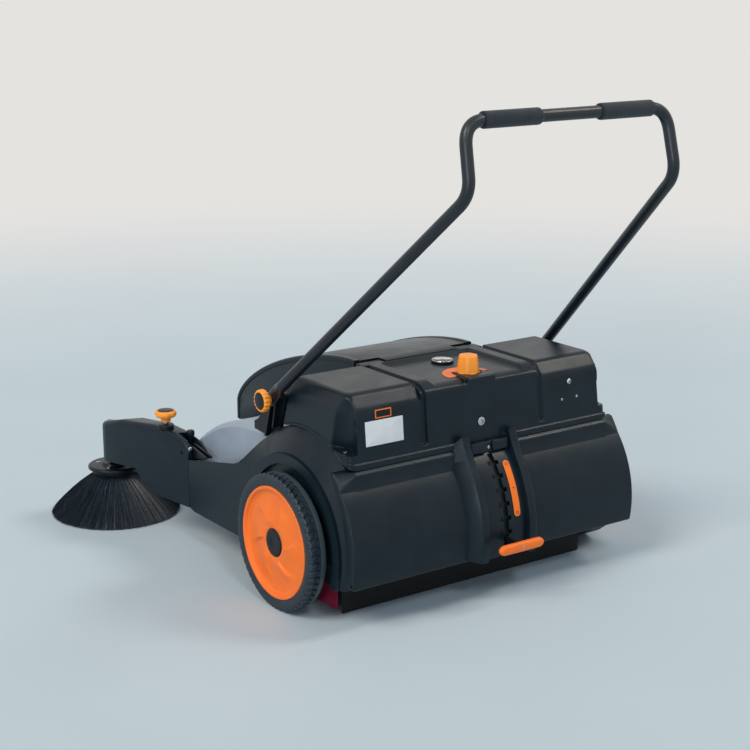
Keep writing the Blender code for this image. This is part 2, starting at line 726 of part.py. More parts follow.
def hood_section(inset, drop):
    """The hood's outer outline in (Y, Z), moved inwards by an inset, its two feet let down by a drop."""
    radius = HOOD_ARC_RADIUS - inset
    centre = (HOOD_PEAK_Y, HOOD_PEAK_Z - HOOD_ARC_RADIUS)
    front = HOOD_FRONT_Y + inset
    rear = HOOD_REAR_Y - inset
    start = math.acos((rear - HOOD_CORNER - centre[0]) / radius)
    end = math.acos((front + HOOD_CORNER * 0.7 - centre[0]) / radius)
    top = arc(centre, radius, start, end, 12)
    shoulder = (rear - HOOD_CORNER * 0.25, top[0][1] - HOOD_CORNER * 0.3)
    nose = (front + HOOD_CORNER * 0.12, top[-1][1] - HOOD_CORNER * 0.5)
    return [(rear, HOOD_REAR_FOOT_Z - drop), (rear, top[0][1] - HOOD_CORNER), shoulder, *top, nose,
            (front, top[-1][1] - HOOD_CORNER * 1.4), (front, HOOD_BOTTOM_Z - drop)]


def hood_solid(inset, drop):
    """The hood's form with rounded ends, grown inwards by an inset and downwards by a drop."""
    half = HOOD_HALF_WIDTH - inset
    rings = []
    for x, extra in ((-half, 0.012), (-half + 0.005, 0.004), (-half + 0.014, 0.0), (half - 0.014, 0.0),
                     (half - 0.005, 0.004), (half, 0.012)):
        rings.append([Vector((x, y, z)) for y, z in hood_section(inset + extra, drop)])
    return loft(rings)


def make_hood(root, looks):
    hood = add_solid("brush_hood", hood_solid(0.0, 0.0), looks["hood"], root)
    ears = []
    for sign in (1, -1):
        a = sign * (HOOD_HALF_WIDTH - 0.006)
        b = sign * (FRAME_OUTER_X - FRAME_WALL - GAP)
        ears.append(add_solid("ear", box((min(a, b), FRAME_FRONT_Y + 0.015, HOOD_REAR_FOOT_Z + 0.006),
                                         (max(a, b), FRAME_TRAY_REAR_Y - 0.002, HOOD_REAR_FOOT_Z + 0.010))))
    join(hood, *ears)
    cut(hood, add_solid("hollow", hood_solid(HOOD_WALL, 0.02)))


def cover_section(inset):
    """The front cover's side outline in (Y, Z): flat rear, long falling arc, upright nose."""
    top = COVER_TOP_Z - inset
    nose = COVER_FRONT_Y + inset
    back = COVER_HINGE_Y
    nose_top = 0.290
    rise = top - nose_top
    run = -0.110 - nose
    points = [(back, top)]
    for i in range(COVER_STEPS):
        angle = math.pi / 2 * i / COVER_STEPS
        y = -0.110 - run * math.sin(angle) ** COVER_FULLNESS
        points.append((y, nose_top + rise * math.cos(angle) ** COVER_FULLNESS))
    points.append((nose, nose_top))
    return points


def make_front_cover(root, looks):
    """The lid at the front: a curved shell, hinged at its rear edge, notched at its rear corners."""
    axis = add_empty("front_cover_axis", (0, COVER_HINGE_Y, COVER_HINGE_Z), root)
    seam = COVER_HINGE_Y - REAR_TOP_Y[0]
    foot = [(COVER_FRONT_Y, COVER_FRONT_Z), (COVER_FRONT_Y + 0.050, COVER_FRONT_Z + 0.008),
            (-0.470, 0.285), (-0.340, 0.345), (REAR_LOW_Y[0] + seam, REAR_BOTTOM_Z + 0.003),
            (REAR_MID_Y[0] + seam, REAR_CHAMFER_Z)]
    outline = cover_section(0.0) + foot
    cover = add_solid("front_cover", prism(outline, -COVER_HALF_WIDTH, COVER_HALF_WIDTH), looks["body"], root)
    bevel(cover, 0.005, 2, 50)
    low = COVER_FRONT_Z - 0.03
    inner = cover_section(COVER_WALL)
    inner[0] = (COVER_HINGE_Y + 0.02, inner[0][1])
    inner += [(COVER_FRONT_Y + COVER_WALL, low), (COVER_HINGE_Y + 0.02, low)]
    half = COVER_HALF_WIDTH - COVER_WALL
    tools = [add_solid("hollow", prism(inner, -half, half))]
    for sign in (1, -1):
        a = sign * COVER_NOTCH_X
        b = sign * (COVER_NOTCH_X + 0.1)
        tools.append(add_solid("notch", box((min(a, b), COVER_HINGE_Y - COVER_NOTCH_DEPTH, 0.30),
                                            (max(a, b), COVER_HINGE_Y + 0.02, 0.52))))
    cut(cover, *tools)
    cover.data.transform(Matrix.Translation((0, -COVER_HINGE_Y, -COVER_HINGE_Z)))
    cover.parent = axis


def rear_ring(half, span, z):
    """A level outline of the rear cover, with its rear corners split for the loft."""
    front, rear = span
    return [Vector((-half, front, z)), Vector((half, front, z)), Vector((half, rear, z)),
            Vector((-half, rear, z))]


def grown(span, amount):
    return (span[0] - amount, span[1] + amount)


def make_rear_cover(root, looks):
    """The upper cover: drafted walls, chamfered top, two grooves, scooped corners, sunken middle."""
    rim = REAR_RIM
    low = REAR_BOTTOM_Z - REAR_RIM_HEIGHT
    rings = [rear_ring(REAR_LOW_HALF + rim, grown(REAR_LOW_Y, rim), low),
             rear_ring(REAR_LOW_HALF + rim, grown(REAR_LOW_Y, rim), REAR_BOTTOM_Z),
             rear_ring(REAR_LOW_HALF, REAR_LOW_Y, REAR_BOTTOM_Z + 0.002),
             rear_ring(REAR_MID_HALF, REAR_MID_Y, REAR_CHAMFER_Z),
             rear_ring(REAR_TOP_HALF, REAR_TOP_Y, REAR_TOP_Z)]
    cover = add_solid("rear_cover", loft(rings), looks["body"], root)
    pad = add_solid("pad", box((-PAD_HALF_WIDTH, REAR_TOP_Y[1] - 0.02, REAR_CHAMFER_Z - 0.02),
                               (PAD_HALF_WIDTH, REAR_MID_Y[1] - 0.0006, TRAY_Z + 0.004)))
    blocks = []
    for sign in (1, -1):
        a = sign * HINGE_BLOCK_X[0]
        b = sign * HINGE_BLOCK_X[1]
        blocks.append(add_solid("block", box((min(a, b), REAR_TOP_Y[0] - HINGE_BLOCK_REACH, HINGE_BLOCK_Z[0]),
                                             (max(a, b), REAR_TOP_Y[0] + 0.006, HINGE_BLOCK_Z[1]))))
        pin = rod(COVER_TOP_Z - COVER_WALL - COVER_HINGE_Z - PIN_PLAY, a - sign * HINGE_PIN_LENGTH,
                  a + sign * 0.005, centre=(0, COVER_HINGE_Y, COVER_HINGE_Z), steps=16)
        blocks.append(add_solid("pin", pin))
    wall = REAR_WALL
    tools = []
    groove = GROOVE_DEPTH
    line = [(REAR_TOP_Y[0] - 0.02, REAR_TOP_Z - groove), (REAR_TOP_Y[1] - 0.002, REAR_TOP_Z - groove),
            (REAR_MID_Y[1] - groove, REAR_CHAMFER_Z - 0.002), (REAR_LOW_Y[1] - groove, REAR_BOTTOM_Z + 0.008),
            (REAR_LOW_Y[1] + 0.03, REAR_BOTTOM_Z + 0.008), (REAR_LOW_Y[1] + 0.03, REAR_TOP_Z + 0.03),
            (REAR_TOP_Y[0] - 0.02, REAR_TOP_Z + 0.03)]
    for sign in (1, -1):
        middle = sign * GROOVE_X
        tools.append(add_solid("groove", prism(line, middle - GROOVE_WIDTH / 2, middle + GROOVE_WIDTH / 2)))
        scoop = [(0, SCOOP_FLOOR_Z), (SCOOP_RADIUS, SCOOP_FLOOR_Z), (SCOOP_RADIUS, SCOOP_TOP_Z)]
        for share in (0.35, 0.65, 0.85):
            scoop.append((SCOOP_RADIUS * math.sqrt(1 - share ** 2), SCOOP_TOP_Z + 0.03 * share))
        scoop.append((0, SCOOP_TOP_Z + 0.03))
        centre = (sign * SCOOP_CENTRE[0], SCOOP_CENTRE[1], 0)
        tools.append(add_solid("scoop", turned(scoop, 24, Z_AXIS, centre, closed=False)))
    tray = [(-TRAY_HALF_WIDTH, REAR_TOP_Z + 0.002), (-TRAY_HALF_WIDTH, REAR_TOP_Z),
            (-TRAY_HALF_WIDTH + TRAY_SLOPE, TRAY_Z), (TRAY_HALF_WIDTH - TRAY_SLOPE, TRAY_Z),
            (TRAY_HALF_WIDTH, REAR_TOP_Z), (TRAY_HALF_WIDTH, REAR_TOP_Z + 0.002)]
    tools.append(add_solid("tray", prism(tray, REAR_TOP_Y[0] - 0.02, TRAY_REAR_Y, "Y")))
    tools.append(add_solid("wheel_arch", rod(FLARE_RADIUS + GAP, -0.5, 0.5, centre=(0, 0, AXLE_Z), steps=72)))
    join(cover, pad)
    cut(cover, *tools)
    join(cover, *blocks)
    deep = wall + GROOVE_DEPTH
    hollow = [rear_ring(REAR_LOW_HALF - wall, grown(REAR_LOW_Y, -deep), low - 0.02),
              rear_ring(REAR_LOW_HALF - wall, grown(REAR_LOW_Y, -deep), REAR_BOTTOM_Z),
              rear_ring(REAR_MID_HALF - wall, grown(REAR_MID_Y, -deep), REAR_CHAMFER_Z - deep),
              rear_ring(REAR_TOP_HALF - wall, grown(REAR_TOP_Y, -deep), TRAY_Z - wall)]
    hollow_tool = add_solid("hollow", loft(hollow))
    posts = []
    for sign in (1, -1):
        posts.append(add_solid("post", rod(SCOOP_RADIUS + wall, 0.30, SCOOP_TOP_Z + 0.034, Z_AXIS,
                                           (sign * SCOOP_CENTRE[0], SCOOP_CENTRE[1], 0))))
    cut(hollow_tool, *posts)
    spindle = add_solid("spindle", rod(KNOB_SPINDLE_RADIUS + PIN_PLAY, TRAY_Z - 0.03, TRAY_Z + 0.03, Z_AXIS,
                                       (0, KNOB_Y, 0), 16))
    cut(cover, hollow_tool, spindle)


def make_controls(root, looks):
    """The round gauge and the dial knob, both on the sunken middle of the upper cover."""
    x, y = GAUGE_CENTRE
    base = TRAY_Z + GAP
    outer = GAUGE_RADIUS
    profile = [(0, base), (outer, base), (outer, base + GAUGE_HEIGHT * 0.7), (outer - 0.002, base + GAUGE_HEIGHT),
               (outer - 0.004, base + GAUGE_HEIGHT), (outer - 0.004, base + GAUGE_HEIGHT * 0.5),
               (0, base + GAUGE_HEIGHT * 0.5)]
    add_solid("gauge_case", turned(profile, 24, Z_AXIS, (x, y, 0), closed=False), looks["dark"], root)
    low = base + GAUGE_HEIGHT * 0.5 + GAP
    lens = [(0, low), (outer - 0.004 - GAP, low), (outer - 0.004 - GAP, low + 0.002), (outer - 0.012, low + 0.003),
            (0, low + 0.0034)]
    add_solid("gauge_lens", turned(lens, 24, Z_AXIS, (x, y, 0), closed=False), looks["glass"], root)
    axis = add_empty("dial_axis", (0, KNOB_Y, TRAY_Z), root)
    rings = []
    for height, radius in ((GAP, KNOB_BASE_RADIUS), (0.004, KNOB_BASE_RADIUS), (0.0045, KNOB_BASE_RADIUS - 0.002),
                           (KNOB_HEIGHT - 0.004, KNOB_TOP_RADIUS), (KNOB_HEIGHT, KNOB_TOP_RADIUS - 0.003)):
        lobed = radius < KNOB_BASE_RADIUS
        ring = []
        for i in range(24):
            angle = 2 * math.pi * i / 24
            dip = 0.0016 if lobed and i % 4 in (2, 3) else 0.0
            ring.append(Vector(((radius - dip) * math.cos(angle), (radius - dip) * math.sin(angle), height)))
        rings.append(ring)
    knob = add_solid("dial_knob", loft(rings), looks["knob"], axis)
    join(knob, add_solid("spindle", rod(KNOB_SPINDLE_RADIUS, -0.022, 0.01, Z_AXIS, steps=16)))


def bin_back(inset):
    """The container's rear outline in (Y, Z), from the bottom up to its top lip."""
    radius = BIN_BACK_RADIUS - inset
    low = BIN_BOTTOM_Z + inset
    start = math.asin((low - AXLE_Z) / radius)
    back = arc((0, AXLE_Z), radius, start, BIN_SHOULDER_ANGLE, 10)
    return [*back, (BIN_TOP_Y + 0.006 - inset, BIN_TOP_Z - 0.010), (BIN_TOP_Y - inset, BIN_TOP_Z)]


def sector(inner, outer, start, end, low, high, steps):
    """A block between two radii about the axle, from low to high along X."""
    points = arc((0, AXLE_Z), outer, start, end, steps) + arc((0, AXLE_Z), inner, end, start, 3)
    return prism(points, low, high)


def rib_rings():
    """Rings of one rib: full crest, then a flank that dies into the container's back."""
    bottom = math.asin((BIN_BOTTOM_Z - AXLE_Z) / RIB_RADIUS)
    inner = BIN_BACK_RADIUS - 0.02
    rings = []
    for x, radius in ((SPINE_HALF_WIDTH - 0.001, RIB_RADIUS), (SPINE_HALF_WIDTH + RIB_CREST, RIB_RADIUS),
                      (SPINE_HALF_WIDTH + RIB_CREST + RIB_FLANK, BIN_BACK_RADIUS - 0.003)):
        fall = RIB_RADIUS - radius
        outer = arc((0, AXLE_Z), radius, bottom, math.radians(40), 8)
        top = [(RIB_TOP[0] - fall * 0.4, RIB_TOP[1] - fall * 1.6), (RIB_TOP[0] - 0.013, RIB_TOP[1] - fall * 1.6)]
        back = [(BIN_TOP_Y + 0.003, BIN_TOP_Z - 0.05)]
        inside = arc((0, AXLE_Z), inner, math.radians(40), bottom, 6)
        rings.append([Vector((x, y, z)) for y, z in outer + top + back + inside])
    return rings


def make_bin(root, looks):
    """The dust container: side shells behind the wheels, an open tub, a web and the notched spine."""
    axis = add_empty("dust_container_axis", (0, 0, 0), root)
    low = math.asin((BIN_BOTTOM_Z - AXLE_Z) / (FRAME_REAR_RADIUS + RUN_GAP))
    top = math.asin((BIN_TOP_Z - AXLE_Z) / (FLARE_RADIUS + RUN_GAP))
    shell = bin_back(0.0)
    for start, end, steps in ((top, FLARE_REAR_ANGLE, 2), (FLARE_REAR_ANGLE, low, 12)):
        for i in range(steps):
            angle = start + (end - start) * i / steps
            shell.append(on_axle(seam_radius(angle) + RUN_GAP, angle))
    shell.append(on_axle(FRAME_REAR_RADIUS + RUN_GAP, low))
    body = add_solid("dust_container", prism(shell, -BIN_HALF_WIDTH, BIN_HALF_WIDTH), looks["body"], axis)
    bevel(body, 0.005, 1, 60)
    floor = BIN_BOTTOM_Z + 0.001
    tub = [(BIN_FRONT_Y, floor), (0.212, floor), (0.212, 0.20), (BIN_TOP_Y - 0.006, BIN_TOP_Z - 0.012),
           (0.06, BIN_TOP_Z - 0.012), (BIN_FRONT_Y, BIN_FRONT_TOP_Z)]
    half = BIN_TUB_HALF_WIDTH
    join(body, add_solid("tub", prism(tub, -half, half)))
    spine_low = math.asin((BIN_BOTTOM_Z + 0.001 - AXLE_Z) / SPINE_RADIUS)
    spine = add_solid("spine", sector(0.20, SPINE_RADIUS, spine_low, math.radians(43), -SPINE_HALF_WIDTH,
                                      SPINE_HALF_WIDTH, 8))
    rib = add_solid("rib", loft(rib_rings()))
    twin = mirrored(rib, "rib_twin")
    join(body, spine, rib, twin)
    wall = BIN_WALL
    hollow = [(BIN_FRONT_Y + wall, BIN_BOTTOM_Z + wall), *bin_back(wall)[:-2], (BIN_TOP_Y - 0.008, BIN_TOP_Z - 0.02),
              (BIN_TOP_Y - 0.008, BIN_TOP_Z + 0.02), (BIN_FRONT_Y + wall, BIN_TOP_Z + 0.02)]
    tools = []
    for sign in (1, -1):
        a = sign * BIN_WEB_HALF
        b = sign * (half - wall)
        tools.append(add_solid("hollow", prism(hollow, min(a, b), max(a, b))))
    channel_half = LEVER_HALF_THICKNESS + 0.0012
    channel = prism(lever_sweep(0.0085), -channel_half, channel_half)
    eye = rod(LEVER_EYE_RADIUS + RUN_GAP, -channel_half, channel_half, centre=(0, 0, AXLE_Z))
    tools += [add_solid("channel", channel), add_solid("eye", eye)]
    tools.append(add_solid("pin", rod(LEVER_PIN_RADIUS + PIN_PLAY, -BIN_WEB_HALF - 0.01, BIN_WEB_HALF + 0.01,
                                      centre=(0, 0, AXLE_Z), steps=16)))
    tools.append(add_solid("gate", gate_comb()))
    cut(body, *tools)
    return axis


def lever_sweep(margin):
    """The (Y, Z) outline of the space the lever's blade swings through, with a margin on both sides."""
    reach = SPINE_RADIUS + 0.02
    low = LEVER_REST_ANGLE
    high = low + LEVER_TRAVEL
    outline = arc((0, AXLE_Z), reach, low, high, 8)
    for angle, side in ((high, 1), (low, -1)):
        ahead = (reach * math.cos(angle), reach * math.sin(angle))
        across = (-side * margin * math.sin(angle), side * margin * math.cos(angle))
        ends = [(ahead[0] + across[0], AXLE_Z + ahead[1] + across[1]), (across[0], AXLE_Z + across[1])]
        outline += ends if side > 0 else reversed(ends)
    return outline


def gate_comb():
    """The notched gate as one cutter: a slot with pairs of side notches, bent round the axle."""
    span = GATE_TOP_ANGLE - GATE_BOTTOM_ANGLE
    step = span / (GATE_NOTCHES + 0.6)
    half = step * 0.14
    right = [(GATE_HALF_WIDTH, GATE_BOTTOM_ANGLE)]
    for i in range(GATE_NOTCHES):
        middle = GATE_BOTTOM_ANGLE + step * (i + 0.9)
        right += [(GATE_HALF_WIDTH, middle - half), (GATE_NOTCH, middle - half), (GATE_NOTCH, middle + half),
                  (GATE_HALF_WIDTH, middle + half)]
    right.append((GATE_HALF_WIDTH, GATE_TOP_ANGLE))
    left = [(-x, angle) for x, angle in reversed(right)]
    rings = []
    for radius in (SPINE_RADIUS - 0.008, SPINE_RADIUS + 0.02):
        rings.append([Vector((x, *on_axle(radius, angle))) for x, angle in right + left])
    return loft(rings)


def make_lever(container, looks):
    """The rear lever: a flat blade from its pin out through the gate, with a lozenge handle."""
    axis = add_empty("lever_axis", (0, 0, AXLE_Z), container)
    half = LEVER_HALF_THICKNESS
    tip = LEVER_RADIUS - HANDLE_DEPTH / 2
    eye = arc((0, 0), LEVER_EYE_RADIUS, math.radians(35), math.radians(325), 12)
    blade = eye + [(0.060, -0.006), (tip - 0.012, -0.006), (tip, -0.009), (tip, 0.009), (tip - 0.012, 0.006),
                   (0.060, 0.006)]
    hole = arc((0, 0), LEVER_PIN_RADIUS + PIN_PLAY, 0, 2 * math.pi * 15 / 16, 15)
    tilt = Matrix.Rotation(LEVER_REST_ANGLE, 4, "X")
    lever = add_solid("brush_lever", prism(blade, -half, half, holes=[hole]), looks["dark"], axis)
    lever.data.transform(tilt)
    rings = []
    for x, share in ((-1.0, 0.30), (-0.94, 0.62), (-0.70, 0.86), (-0.30, 1.0), (0.30, 1.0), (0.70, 0.86),
                     (0.94, 0.62), (1.0, 0.30)):
        ring = []
        for i in range(16):
            angle = 2 * math.pi * i / 16
            out = LEVER_RADIUS + HANDLE_DEPTH / 2 * math.cos(angle) * (0.55 + 0.45 * share)
            up = HANDLE_HALF_HEIGHT * math.sin(angle) * share
            ring.append(Vector((x * HANDLE_HALF_LENGTH, out, up)))
        rings.append(ring)
    handle = add_solid("lever_handle", loft(rings), looks["orange"], axis)
    slot = add_solid("slot", box((-half - GAP, 0.2, -0.02), (half + GAP, tip + GAP, 0.02)))
    cut(handle, slot)
    handle.data.transform(tilt)
    pin = rod(LEVER_PIN_RADIUS, -BIN_WEB_HALF + GAP, BIN_WEB_HALF - GAP, centre=(0, 0, AXLE_Z), steps=16)
    add_solid("lever_pin", pin, looks["steel"], container)


def make_cross_members(root, looks):
    """A round tube behind the hood and a flat bar under its front, between the side frames."""
    inner = FRAME_INNER_X - GAP
    y, z = MID_TUBE_YZ
    tube = turned([(CROSS_TUBE_RADIUS, -inner), (CROSS_TUBE_RADIUS, inner), (CROSS_TUBE_RADIUS - 0.002, inner),
                   (CROSS_TUBE_RADIUS - 0.002, -inner)], 20, centre=(0, y, z))
    add_solid("cross_tube", tube, looks["steel"], root)
    y, z = FRONT_BAR_YZ
    deep, high = FRONT_BAR_SIZE
    end = inner - BAR_NECK
    wide = FRAME_OUTER_X - FRAME_WALL - GAP
    front = FRAME_FRONT_Y + 0.006 + GAP
    rear = FRAME_FRONT_Y + BAR_POCKET_DEPTH
    shoulder = ROLLER_LENGTH / 2 + 4 * RUN_GAP
    outline = [(end, y - deep / 2), (end, front), (wide, front), (wide, rear), (shoulder, rear),
               (shoulder, y + deep / 2)]
    outline += [(-a, b) for a, b in reversed(outline)]
    bar = add_solid("front_bar", prism(outline, z - high / 2, z + high / 2, "Z"), looks["steel"], root)
    stem = add_solid("stem", rod(CASTOR_STEM_RADIUS + PIN_PLAY, 0.05, 0.2, Z_AXIS, (0, CASTOR_Y, 0)))
    cut(bar, stem)


def make_ramp_and_seals(root, looks):
    """The dirt ramp behind the roller, the rear rubber strip with its clamp bar, and the side flaps."""
    inner = FRAME_INNER_X - GAP
    centre = (ROLLER_Y, ROLLER_Z)
    reach = ROLLER_RADIUS + RAMP_GAP
    lip = (BIN_FRONT_Y - 0.006, BIN_FRONT_TOP_Z + 0.001)
    knee = (-0.142, BIN_FRONT_TOP_Z - 0.012)
    outline = arc(centre, reach, RAMP_START, RAMP_END, 6) + [knee, lip, (lip[0], lip[1] - RAMP_THICKNESS),
                                                             (knee[0], knee[1] - RAMP_THICKNESS)]
    outline += arc(centre, reach + RAMP_THICKNESS, RAMP_END, RAMP_START, 6)
    add_solid("dirt_ramp", prism(outline, -inner, inner), looks["dark"], root)
    top = BIN_BOTTOM_Z - GAP * 4
    low = top - CLAMP_HEIGHT
    seal_half = SEAL_THICKNESS / 2
    clamp = [(SEAL_Y - CLAMP_DEPTH / 2, low), (SEAL_Y - seal_half - GAP, low), (SEAL_Y - seal_half - GAP, top - 0.004),
             (SEAL_Y + seal_half + GAP, top - 0.004), (SEAL_Y + seal_half + GAP, low),
             (SEAL_Y + CLAMP_DEPTH / 2, low), (SEAL_Y + CLAMP_DEPTH / 2, top), (SEAL_Y - CLAMP_DEPTH / 2, top)]
    add_solid("seal_clamp", prism(clamp, -inner, inner), looks["steel"], root)
    strip = [(SEAL_Y - seal_half, 0.002), (SEAL_Y + seal_half, 0.002), (SEAL_Y + seal_half, top - 0.004 - GAP),
             (SEAL_Y - seal_half, top - 0.004 - GAP)]
    add_solid("rear_seal_strip", prism(strip, -inner + 0.004, inner - 0.004), looks["rubber"], root)
    front, rear = FLAP_Y
    flap = [(front, FLAP_FLOOR_GAP), (rear, FLAP_FLOOR_GAP), (rear, FLAP_TOP_Z), (front, FLAP_TOP_Z)]
    for side, sign in (("left", 1), ("right", -1)):
        a = sign * inner
        b = sign * (inner - FLAP_THICKNESS)
        add_solid(f"side_flap_{side}", prism(flap, min(a, b), max(a, b)), looks["flap"], root)


def rounded_path(points, radii, steps=4):
    """Replace the inner corners of a path with arcs of the given radii."""
    path = [Vector(points[0])]
    for before, corner, after, radius in zip(points, points[1:], points[2:], radii):
        corner = Vector(corner)
        back = (Vector(before) - corner).normalized()
        ahead = (Vector(after) - corner).normalized()
        half = back.angle(ahead) / 2
        if math.pi / 2 - half < 0.01:
            path.append(corner)
            continue
        reach = radius / math.tan(half)
        centre = corner + (back + ahead).normalized() * radius / math.sin(half)
        first = corner + back * reach - centre
        last = corner + ahead * reach - centre
        turn = first.angle(last)
        for i in range(steps + 1):
            share = i / steps
            near = math.sin((1 - share) * turn) / math.sin(turn)
            far = math.sin(share * turn) / math.sin(turn)
            path.append(centre + first * near + last * far)
    path.append(Vector(points[-1]))
    return path


def tube_rings(path, radius, sides, flat_ends):
    """Rings along a path. The first and last two rings are pressed flat across X."""
    rings = []
    last = len(path) - 1
    for i, point in enumerate(path):
        ahead = (path[min(i + 1, last)] - path[max(i - 1, 0)]).normalized()
        across = X_AXIS - ahead * X_AXIS.dot(ahead)
        if across.length < 0.5:
            across = Y_AXIS - ahead * Y_AXIS.dot(ahead)
            turn = -math.pi / 2 if ahead.x > 0 else math.pi / 2
        else:
            turn = 0.0
        across.normalize()
        up = ahead.cross(across)
        flat = flat_ends[i]
        ring = []
        for k in range(sides):
            angle = 2 * math.pi * k / sides
            wide = radius * (1 - flat) + FLAT_THICKNESS / 2 * flat
            tall = radius * (1 - flat) + FLAT_HALF_WIDTH * flat
            ring.append(point + across * wide * math.cos(angle) + up * tall * math.sin(angle))
        rings.append((ring, turn))
    return rings


def align_rings(rings):
    """Turn each ring's starting point to lie nearest to the one before, so that the skin doesn't twist."""
    aligned = [rings[0][0]]
    for ring, _ in rings[1:]:
        before = aligned[-1]
        best = min(range(len(ring)), key=lambda s: sum((ring[(s + k) % len(ring)] - before[k]).length
                                                       for k in range(0, len(ring), 3)))
        forward = [ring[(best + k) % len(ring)] for k in range(len(ring))]
        turned_back = list(reversed(ring))
        best = min(range(len(ring)), key=lambda s: sum((turned_back[(s + k) % len(ring)] - before[k]).length
                                                       for k in range(0, len(ring), 3)))
        backward = [turned_back[(best + k) % len(ring)] for k in range(len(ring))]
        spread = [sum((choice[k] - before[k]).length for k in range(len(ring))) for choice in (forward, backward)]
        aligned.append(forward if spread[0] <= spread[1] else backward)
    return aligned


def make_handle(root, looks):
    """One bent tube with flattened ends, two foam grips, brackets and clamp knobs."""
    axis = add_empty("handle_axis", (0, PIVOT_Y, PIVOT_Z), root)
    pivot = Vector((0, PIVOT_Y, PIVOT_Z))
    kink = Vector(KINK) - pivot
    corner = Vector(TOP_CORNER) - pivot
    foot = Vector((PIVOT_HALF, 0, 0))
    rise = Vector((0, (kink - foot).y, (kink - foot).z)).normalized()
    start = foot - rise * 0.016
    neck = foot + rise * 0.034
    swell = neck + (kink - neck).normalized() * 0.035
    left = [start, foot + rise * 0.027, neck, swell, kink, corner]
    right = [Vector((-p.x, p.y, p.z)) for p in reversed(left)]
    bends = [0.0, 0.02, 0.02, KINK_RADIUS, CORNER_RADIUS]
    path = rounded_path(left + right, bends + bends[::-1])
    path = [p for i, p in enumerate(path) if i == 0 or (p - path[i - 1]).length > 0.0008]
    flats = []
    for p in path:
        reach = min((p - Vector((math.copysign(start.x, p.x), start.y, start.z))).length, 1.0)
        flats.append(max(0.0, min(1.0, (0.075 - reach) / 0.030)))
    tube = add_solid("handle_tube", loft(align_rings(tube_rings(path, TUBE_RADIUS, 12, flats))), looks["tube"],
                     axis)
    holes = [add_solid("hole", rod(BOLT_RADIUS + PIN_PLAY, sign * (PIVOT_HALF - 0.05), sign * (PIVOT_HALF + 0.05),
                                   steps=16)) for sign in (1, -1)]
    cut(tube, *holes)
    for side, sign in (("left", 1), ("right", -1)):
        bore = TUBE_RADIUS + GAP
        low, high = GRIP_INNER, GRIP_OUTER
        profile = [(bore, low), (GRIP_RADIUS - 0.002, low), (GRIP_RADIUS, low + 0.002), (GRIP_RADIUS, high - 0.002),
                   (GRIP_RADIUS - 0.002, high), (bore, high)]
        profile = [(r, sign * x) for r, x in profile]
        grip = turned(profile, 20, centre=(0, corner.y, corner.z))
        add_solid(f"grip_{side}", grip, looks["foam"], axis)
        make_clamp_knob(side, sign, root, looks)
    make_brackets(root, looks)


def make_clamp_knob(side, sign, root, looks):
    """A round clamp knob with finger scallops, its stud through the handle's end into the bracket."""
    face = PIVOT_HALF + FLAT_THICKNESS / 2 + GAP
    axis = add_empty(f"clamp_knob_{side}_axis", (0, PIVOT_Y, PIVOT_Z), root)
    rings = []
    stations = ((face, 0.012), (face + 0.005, 0.012), (face + 0.008, CLAMP_KNOB_RADIUS - 0.004),
                (face + 0.012, CLAMP_KNOB_RADIUS), (face + CLAMP_KNOB_DEPTH - 0.003, CLAMP_KNOB_RADIUS),
                (face + CLAMP_KNOB_DEPTH, CLAMP_KNOB_RADIUS - 0.003))
    for x, radius in stations:
        dip = 0.0022 if radius > 0.02 else 0.0
        ring = []
        for i in range(24):
            angle = 2 * math.pi * i / 24
            r = radius - dip * (i % 4 == 2)
            ring.append(Vector((sign * x, r * math.cos(angle), r * math.sin(angle))))
        rings.append(ring)
    knob = add_solid(f"clamp_knob_{side}", loft(rings), looks["knob"], axis)
    stud = rod(BOLT_RADIUS, sign * (BRACKET_X[1] + 0.001), sign * (face + 0.004), steps=16)
    join(knob, add_solid("stud", stud))


def make_brackets(root, looks):
    """Handle brackets that stand on the flares and hold the clamp studs."""
    end = Vector(on_axle(FLARE_RADIUS, FLARE_FRONT_ANGLE))
    neck = Vector(FRAME_NECK[0])
    out = Vector((-(end - neck).y, (end - neck).x)).normalized() * GAP
    foot = [tuple(neck.lerp(end, 0.25) + out), tuple(end + out),
            on_axle(FLARE_RADIUS + GAP, FLARE_FRONT_ANGLE - math.radians(2.5))]
    head = arc((PIVOT_Y, PIVOT_Z), 0.020, math.radians(-20), math.radians(150), 7)
    outline = foot + head + BRACKET_HORN
    bracket = add_solid("handle_bracket_left", prism(outline, *BRACKET_X), looks["dark"], root)
    boss_end = PIVOT_HALF - FLAT_THICKNESS / 2 - GAP
    pivot = (0, PIVOT_Y, PIVOT_Z)
    boss = add_solid("boss", rod(0.014, BRACKET_X[0] + 0.002, boss_end, centre=pivot))
    fins = []
    for shift in (0.0, 0.018):
        rib = [(PIVOT_Y - 0.018 + shift, PIVOT_Z), (PIVOT_Y - 0.013 + shift, PIVOT_Z),
               (foot[0][0] + 0.003 + 1.7 * shift, foot[0][1] + 0.007 + 1.4 * shift),
               (foot[0][0] - 0.002 + 1.7 * shift, foot[0][1] + 0.007 + 1.4 * shift)]
        fins.append(add_solid("fin", prism(rib, BRACKET_X[1] - 0.002, boss_end - 0.006)))
    join(bracket, boss, *fins)
    bore = rod(BOLT_RADIUS + PIN_PLAY, BRACKET_X[1], boss_end + 0.02, centre=pivot, steps=16)
    cut(bracket, add_solid("bore", bore))
    mirrored(bracket, "handle_bracket_right", root)


